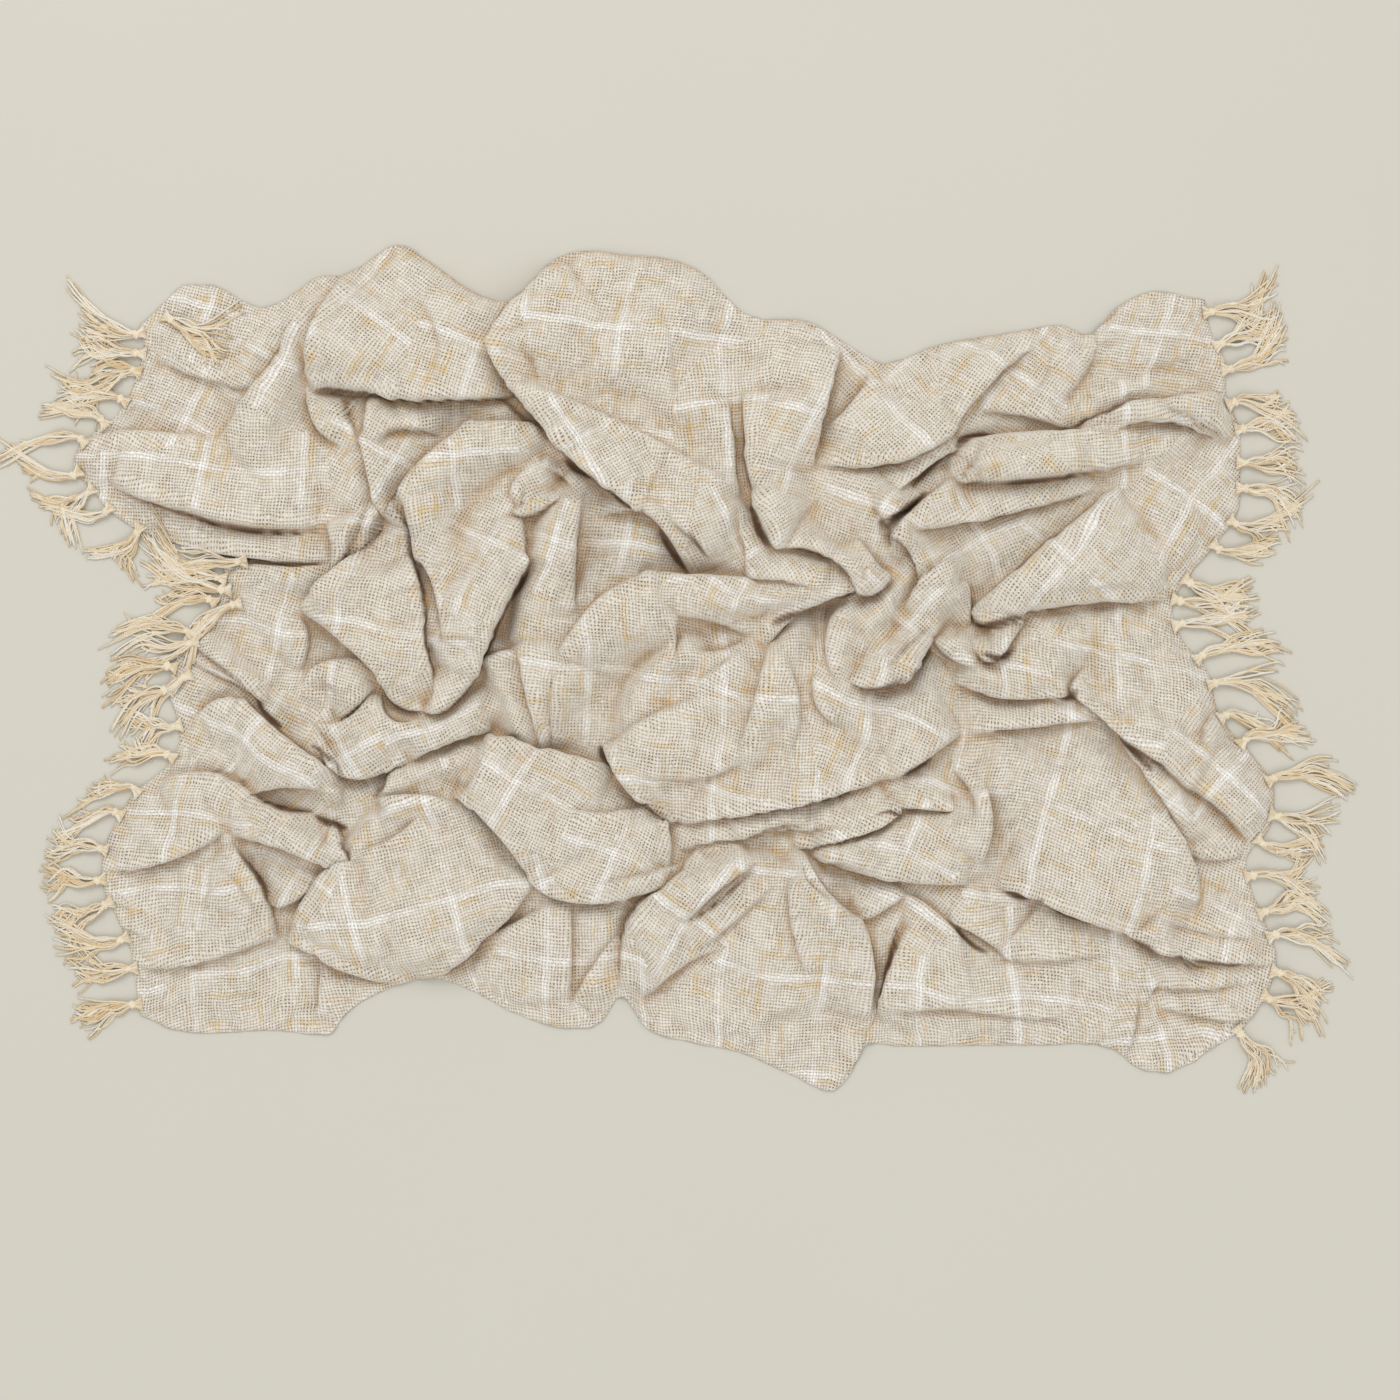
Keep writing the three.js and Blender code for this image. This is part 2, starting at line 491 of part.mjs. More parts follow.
// Grid of the sheet: each point's place and the height of its lower face
function sheetGrid() {
  return Array.from({ length: GRID_ROWS + 1 }, (_, row) =>
    Array.from({ length: GRID_COLUMNS + 1 }, (_, column) => {
      const plan = planPoint(column / GRID_COLUMNS, row / GRID_ROWS);
      const onRim = row === 0 || column === 0 || row === GRID_ROWS || column === GRID_COLUMNS;
      const inward = nearestOnPath(outline, plan.x, plan.y).distance;
      const height = onRim ? 0 : softHeight(plan.x, plan.y, inward) * rimShare(inward);
      return { ...toPart(plan), under: Math.max(0, height - FLOOR_SINK) };
    }));
}

// Upright thickness at a grid point: more where the sheet is steep, so that it stays even across
function uprightThickness(grid, row, column) {
  const slope = (from, to) => (to.under - from.under) / Math.hypot(to.x - from.x, to.y - from.y);
  const left = grid[row][Math.max(column - 1, 0)];
  const right = grid[row][Math.min(column + 1, GRID_COLUMNS)];
  const back = grid[Math.max(row - 1, 0)][column];
  const front = grid[Math.min(row + 1, GRID_ROWS)][column];
  const stretch = Math.hypot(1, slope(left, right), slope(back, front));
  return CLOTH_THICKNESS * Math.min(stretch, MOST_STRETCH);
}

// Closed sheet: an upper and a lower face over the grid, and a low wall round the rim
function buildCloth() {
  const grid = sheetGrid();
  const points = grid.length * grid[0].length;
  const positions = [];
  grid.forEach((line, row) => line.forEach(({ x, y, under }, column) => {
    positions.push(x, y, under + uprightThickness(grid, row, column));
  }));
  grid.flat().forEach(({ x, y, under }) => positions.push(x, y, under));

  const indexOf = (row, column) => row * (GRID_COLUMNS + 1) + column;
  const faces = [];
  for (let row = 0; row < GRID_ROWS; row += 1) {
    for (let column = 0; column < GRID_COLUMNS; column += 1) {
      const backLeft = indexOf(row, column);
      const backRight = indexOf(row, column + 1);
      const frontLeft = indexOf(row + 1, column);
      const frontRight = indexOf(row + 1, column + 1);
      const fall = Math.abs(grid[row][column].under - grid[row + 1][column + 1].under);
      const otherFall = Math.abs(grid[row][column + 1].under - grid[row + 1][column].under);
      const upper = fall < otherFall
        ? [[backLeft, frontLeft, frontRight], [backLeft, frontRight, backRight]]
        : [[backLeft, frontLeft, backRight], [backRight, frontLeft, frontRight]];
      for (const [first, second, third] of upper) {
        faces.push(first, second, third);
        faces.push(first + points, third + points, second + points);
      }
    }
  }
  for (const [first, second] of rimPairs(indexOf)) {
    faces.push(first, first + points, second, second, first + points, second + points);
  }
  return bodyGeometry(positions, faces);
}

// Neighbouring grid points round the rim, front side first, each pair with the sheet on its left
function rimPairs(indexOf) {
  const front = Array.from({ length: GRID_COLUMNS + 1 }, (_, column) => indexOf(GRID_ROWS, column));
  const right = Array.from({ length: GRID_ROWS }, (_, step) => indexOf(GRID_ROWS - 1 - step, GRID_COLUMNS));
  const back = Array.from({ length: GRID_COLUMNS }, (_, step) => indexOf(0, GRID_COLUMNS - 1 - step));
  const left = Array.from({ length: GRID_ROWS }, (_, step) => indexOf(step + 1, 0));
  const ring = [...front, ...right, ...back, ...left];
  return ring.slice(0, -1).map((point, index) => [point, ring[index + 1]]);
}

function bodyGeometry(positions, faces) {
  const geometry = new THREE.BufferGeometry();
  geometry.setAttribute("position", new THREE.Float32BufferAttribute(positions, 3));
  geometry.setIndex(faces);
  return mergeVertices(geometry, 1e-4);
}

// Place and outward direction on the rim's straight piece nearest a given y on one end of the sheet
function rimSeat(end, y) {
  const across = end === "left" ? 0 : 1;
  const rim = Array.from({ length: GRID_ROWS + 1 }, (_, row) => planPoint(across, row / GRID_ROWS));
  const row = clamp(rim.findIndex((point) => point.y >= y), 1, GRID_ROWS);
  const from = rim[row - 1];
  const to = rim[row];
  const share = clamp((y - from.y) / (to.y - from.y), SEAT_MARGIN, 1 - SEAT_MARGIN);
  const length = Math.hypot(to.x - from.x, to.y - from.y);
  const outward = end === "left" ? 1 : -1;
  return {
    ...toPart({ x: mix(from.x, to.x, share), y: mix(from.y, to.y, share) }),
    outX: (-(to.y - from.y) / length) * outward,
    outY: (-(to.x - from.x) / length) * outward,
  };
}

// Closed solid through rings of equal length, each ring a list of points in order
function loftSolid(rings) {
  const size = rings[0].length;
  const faces = [];
  for (let ring = 0; ring < rings.length - 1; ring += 1) {
    for (let side = 0; side < size; side += 1) {
      const here = ring * size + side;
      const beside = ring * size + ((side + 1) % size);
      faces.push(here, here + size, beside, beside, here + size, beside + size);
    }
  }
  const last = (rings.length - 1) * size;
  for (let side = 1; side < size - 1; side += 1) {
    faces.push(0, side, side + 1, last, last + side + 1, last + side);
  }
  const mesh = new wasm.Mesh({
    numProp: 3,
    vertProperties: Float32Array.from(rings.flat(2)),
    triVerts: Uint32Array.from(faces),
  });
  return new wasm.Manifold(mesh);
}

// Ring of the knot: six points over a flat foot, at a distance along the tassel's own axis
function knotRing(frame, along, { halfWidth, height }) {
  return KNOT_SHAPE.map(([side, up]) => frame.place(along, side * halfWidth, up * height));
}

// Ring of a strand: a flat foot and a ridge
function strandRing(frame, along, side, width) {
  return [
    frame.place(along, side - width / 2, 0),
    frame.place(along, side, STRAND_HEIGHT),
    frame.place(along, side + width / 2, 0),
  ];
}

// Knot with loose strands that fan out level on the floor
function buildTassel(end, y, tipX, tipY) {
  const seat = rimSeat(end, y);
  const tip = toPart({ x: tipX, y: tipY });
  const frame = {
    place: (along, side, up) => [
      seat.x + seat.outX * along - seat.outY * side,
      seat.y + seat.outY * along + seat.outX * side,
      up,
    ],
  };
  const tipAlong = (tip.x - seat.x) * seat.outX + (tip.y - seat.y) * seat.outY;
  const tipSide = (tip.y - seat.y) * seat.outX - (tip.x - seat.x) * seat.outY;
  const knotEnd = KNOT_GAP + KNOT_LENGTH;
  const knot = loftSolid([
    knotRing(frame, KNOT_GAP, KNOT_BACK),
    knotRing(frame, KNOT_GAP + KNOT_LENGTH / 2, KNOT_MIDDLE),
    knotRing(frame, knotEnd, KNOT_FRONT),
  ]);
  const strands = Array.from({ length: STRANDS }, (_, index) => {
    const place = index - (STRANDS - 1) / 2;
    const shorter = 1 - STRAND_STAGGER * ((index * 2) % 3);
    const root = place * STRAND_PITCH;
    const reach = mix(knotEnd, Math.max(tipAlong, knotEnd + SHORTEST_STRAND), shorter);
    const bend = mix(knotEnd, reach, BEND_AT);
    return loftSolid([
      strandRing(frame, knotEnd - STRAND_ROOT_DEPTH, root, STRAND_WIDTH),
      strandRing(frame, bend, root * BEND_SPREAD + tipSide * BEND_SWING, STRAND_WIDTH),
      strandRing(frame, reach, root * TIP_SPREAD + tipSide * shorter, STRAND_WIDTH * TIP_TAPER),
    ]);
  });
  const solid = strands.reduce((joined, strand) => joined.add(strand), knot);
  const { vertProperties, triVerts } = solid.getMesh();
  return bodyGeometry(Array.from(vertProperties), Array.from(triVerts));
}

const clothMaterial = new THREE.MeshStandardMaterial({ color: 0xd2c7b6, roughness: 0.95, metalness: 0 });
const fringeMaterial = new THREE.MeshStandardMaterial({ color: 0xdcd2bf, roughness: 0.95, metalness: 0 });

function namedMesh(name, geometry, material) {
  const mesh = new THREE.Mesh(geometry, material);
  mesh.name = name;
  return mesh;
}

const part = new THREE.Group();
part.name = "crumpled_blanket";
part.add(namedMesh("cloth", buildCloth(), clothMaterial));
const counts = { left: 0, right: 0 };
for (const [end, y, tipX, tipY] of TASSELS) {
  counts[end] += 1;
  const number = String(counts[end]).padStart(2, "0");
  part.add(namedMesh(`tassel_${end}_${number}`, buildTassel(end, y, tipX, tipY), fringeMaterial));
}

export default part;
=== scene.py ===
"""A crumpled throw blanket with knotted fringe, lying in a low heap and seen from straight above."""
import logging
import math
from dataclasses import dataclass, field
from enum import Enum
from typing import Any, Iterator, Optional, Sequence, Union

import bpy
import numpy as np
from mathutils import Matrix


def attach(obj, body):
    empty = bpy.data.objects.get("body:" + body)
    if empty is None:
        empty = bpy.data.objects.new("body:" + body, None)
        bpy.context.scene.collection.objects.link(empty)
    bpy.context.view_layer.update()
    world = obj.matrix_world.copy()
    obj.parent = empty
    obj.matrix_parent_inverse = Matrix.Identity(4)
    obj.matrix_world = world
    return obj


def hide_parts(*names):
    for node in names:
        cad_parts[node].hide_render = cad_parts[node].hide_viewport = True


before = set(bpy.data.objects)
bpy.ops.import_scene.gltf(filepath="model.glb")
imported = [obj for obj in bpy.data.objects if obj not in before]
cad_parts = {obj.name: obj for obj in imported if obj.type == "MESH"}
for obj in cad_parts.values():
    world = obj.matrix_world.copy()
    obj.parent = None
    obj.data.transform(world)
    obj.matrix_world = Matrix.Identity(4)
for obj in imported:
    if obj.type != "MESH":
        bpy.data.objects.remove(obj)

LOG = logging.getLogger("blanket")
logging.basicConfig(level=logging.INFO, format="%(name)s: %(message)s")

MM = 0.001
# Size of one unit of the plan grid in millimetres, and the plan place of the part's origin
PLAN_UNIT = 1.05
PLAN_ORIGIN = (678.51, 669.04)
# The plan's corners: back left, back right, front left, front right
CORNERS = ((140, 325), (1205, 300), (140, 1015), (1195, 1062))
EDGE_FADE = 4

BACK_EDGE = (
    (140, 325), (165, 302), (185, 286), (210, 286), (262, 308), (285, 300), (318, 278), (345, 275),
    (400, 246), (430, 262), (470, 290), (505, 302), (520, 292), (560, 257), (640, 256), (700, 272),
    (745, 314), (810, 323), (862, 354), (880, 364), (940, 345), (1010, 333), (1060, 326), (1090, 335),
    (1115, 310), (1155, 292), (1205, 300),
)
FRONT_EDGE = (
    (140, 1015), (170, 1028), (210, 1033), (270, 1030), (330, 1033), (345, 1014), (385, 990), (430, 978),
    (460, 985), (520, 1015), (570, 1028), (600, 1022), (622, 996), (645, 1026), (690, 1042), (740, 1052),
    (790, 1074), (832, 1090), (852, 1070), (866, 1044), (900, 1046), (1040, 1045), (1115, 1050),
    (1135, 1066), (1165, 1072), (1195, 1062),
)
LEFT_EDGE = (
    (140, 325), (144, 345), (138, 372), (118, 414), (84, 442), (74, 465), (92, 490), (115, 515),
    (150, 535), (206, 552), (224, 566), (220, 592), (200, 622), (180, 650), (170, 690), (180, 735),
    (168, 765), (135, 793), (112, 830), (102, 862), (104, 888), (118, 920), (132, 955), (136, 985),
    (140, 1015),
)
RIGHT_EDGE = (
    (1205, 300), (1212, 335), (1225, 362), (1226, 395), (1238, 425), (1240, 480), (1236, 515),
    (1215, 545), (1190, 575), (1172, 606), (1182, 640), (1204, 665), (1222, 720), (1252, 755),
    (1274, 790), (1268, 830), (1246, 858), (1250, 885), (1264, 920), (1276, 958), (1268, 990),
    (1240, 1030), (1195, 1062),
)

# Broad folds: name, then plan x, plan y, half width and crown height (mm) at start, middle and end
FOLDS = (
    ("corner flap", 170, 325, 36, 9, 215, 320, 42, 13, 275, 345, 32, 12),
    ("upper left band", 135, 395, 28, 8, 190, 395, 46, 12, 255, 400, 34, 14),
    ("long left fold", 82, 458, 24, 18, 220, 475, 42, 30, 345, 480, 44, 34),
    ("left riser", 240, 440, 26, 22, 287, 365, 38, 28, 328, 300, 30, 20),
    ("upper flap", 352, 335, 44, 36, 420, 325, 72, 42, 490, 345, 44, 36),
    ("pocket floor", 420, 440, 34, 22, 405, 480, 26, 24, 392, 515, 10, 26),
    ("band under flap", 440, 410, 30, 26, 490, 410, 24, 30, 530, 425, 16, 30),
    ("round shoulder", 555, 445, 16, 40, 455, 470, 40, 48, 438, 560, 28, 44),
    ("shoulder foot", 438, 560, 24, 40, 430, 590, 18, 34, 432, 640, 14, 28),
    ("inner swirl", 540, 478, 18, 48, 492, 545, 34, 54, 465, 640, 34, 50),
    ("middle pleat", 590, 482, 16, 46, 555, 545, 28, 52, 535, 640, 22, 44),
    ("middle panel", 600, 520, 24, 30, 640, 555, 40, 36, 600, 610, 34, 32),
    ("top dome", 580, 320, 60, 32, 640, 335, 84, 44, 715, 400, 48, 36),
    ("dome left", 510, 345, 22, 26, 545, 330, 46, 34, 600, 360, 50, 38),
    ("diagonal roll", 522, 398, 20, 38, 605, 445, 46, 54, 690, 505, 46, 52),
    ("diagonal tail", 690, 505, 42, 50, 765, 560, 28, 48, 848, 590, 10, 38),
    ("top right panel", 795, 345, 46, 30, 785, 410, 44, 38, 780, 500, 30, 42),
    ("right of groove", 770, 500, 20, 40, 800, 545, 26, 44, 866, 585, 16, 38),
    ("right shoulder", 850, 420, 40, 26, 940, 395, 52, 32, 1030, 350, 26, 20),
    ("under shoulder", 830, 480, 26, 30, 880, 510, 34, 36, 870, 560, 24, 36),
    ("right hollow", 1010, 400, 34, 16, 1050, 365, 44, 22, 1085, 350, 34, 18),
    ("top right round", 1105, 345, 40, 16, 1160, 335, 52, 24, 1215, 340, 40, 12),
    ("roll two", 1090, 412, 20, 26, 1160, 400, 22, 26, 1235, 420, 20, 14),
    ("roll three", 968, 465, 18, 36, 1060, 460, 22, 38, 1180, 442, 18, 22),
    ("shaded panel", 940, 555, 34, 18, 1000, 550, 40, 22, 1070, 515, 24, 20),
    ("right flap", 985, 604, 10, 30, 1095, 548, 52, 44, 1195, 505, 62, 22),
    ("centre arch", 530, 720, 30, 42, 572, 650, 44, 54, 645, 612, 38, 56),
    ("centre arch tail", 645, 612, 36, 56, 740, 594, 24, 50, 848, 598, 8, 40),
    ("arch left foot", 500, 655, 18, 42, 510, 690, 26, 46, 535, 735, 18, 42),
    ("centre body", 640, 750, 40, 38, 755, 700, 72, 50, 900, 705, 60, 46),
    ("body crest one", 690, 650, 16, 48, 650, 690, 22, 50, 640, 740, 20, 46),
    ("body crest two", 790, 625, 18, 46, 775, 680, 24, 54, 745, 745, 20, 48),
    ("body crest three", 845, 615, 16, 48, 838, 670, 24, 54, 860, 720, 22, 48),
    ("knot left", 905, 575, 20, 44, 872, 620, 26, 52, 885, 672, 14, 44),
    ("knot finger", 945, 575, 28, 46, 925, 615, 24, 54, 885, 675, 10, 46),
    ("knot lobe", 1050, 640, 28, 38, 1010, 660, 34, 44, 955, 645, 18, 42),
    ("lobe edge", 1080, 620, 22, 30, 1065, 660, 26, 36, 1060, 690, 14, 34),
    ("right panel", 1115, 628, 28, 28, 1150, 680, 52, 34, 1215, 770, 30, 24),
    ("right lobe", 1215, 735, 24, 16, 1240, 790, 38, 24, 1258, 825, 20, 14),
    ("under strip", 1120, 735, 10, 22, 1180, 800, 24, 22, 1238, 842, 16, 12),
    ("big right panel", 1010, 780, 34, 38, 1085, 830, 76, 46, 1150, 890, 44, 32),
    ("right corner panel", 1205, 875, 34, 12, 1235, 915, 44, 18, 1265, 950, 24, 10),
    ("bottom right", 890, 1010, 36, 14, 1000, 995, 52, 22, 1115, 1005, 44, 14),
    ("bottom right tip", 1140, 1040, 24, 10, 1160, 1045, 28, 12, 1180, 1045, 24, 8),
    ("mid right lobe", 830, 852, 10, 30, 900, 845, 32, 42, 955, 838, 38, 46),
    ("bottom flap", 790, 885, 24, 36, 765, 965, 84, 34, 790, 1050, 62, 12),
    ("flap left roll", 762, 866, 14, 38, 690, 905, 30, 40, 640, 975, 26, 20),
    ("flap right ridge", 798, 862, 10, 40, 830, 915, 24, 38, 845, 1000, 26, 18),
    ("inner bottom", 520, 925, 48, 16, 540, 965, 62, 20, 555, 1000, 40, 10),
    ("inner bottom right", 600, 925, 26, 18, 605, 965, 26, 18, 590, 1005, 24, 10),
    ("oval lobe", 330, 925, 40, 30, 415, 890, 78, 46, 500, 885, 38, 34),
    ("oval crest", 345, 862, 16, 32, 420, 805, 22, 42, 470, 830, 24, 44),
    ("middle lobe", 490, 775, 32, 44, 565, 820, 62, 52, 635, 850, 42, 40),
    ("left of lobe", 395, 785, 14, 36, 440, 768, 24, 42, 495, 755, 22, 44),
    ("bent fold", 370, 740, 24, 34, 430, 722, 26, 40, 480, 708, 20, 42),
    ("crossed panel", 322, 607, 18, 32, 380, 620, 52, 46, 425, 680, 22, 42),
    ("lower swirl", 470, 640, 24, 46, 455, 670, 22, 44, 440, 695, 14, 40),
    ("under panel", 315, 685, 18, 24, 345, 680, 32, 30, 370, 675, 16, 28),
    ("left inner", 255, 590, 30, 14, 280, 630, 36, 20, 300, 680, 26, 20),
    ("left edge panel", 190, 690, 26, 10, 215, 670, 28, 12, 250, 700, 20, 14),
    ("left mid lobe", 205, 755, 30, 20, 262, 748, 40, 32, 335, 790, 14, 28),
    ("left low lobe", 130, 830, 34, 14, 205, 815, 38, 32, 330, 858, 18, 28),
    ("left low panel", 120, 915, 32, 10, 200, 885, 44, 28, 250, 900, 30, 22),
    ("low left corner", 150, 990, 34, 8, 240, 990, 44, 12, 325, 1005, 30, 10),
    ("left notch panel", 240, 575, 22, 12, 290, 570, 26, 18, 330, 575, 24, 24),
    ("back fold", 330, 520, 16, 28, 345, 560, 22, 36, 330, 595, 16, 34),
)

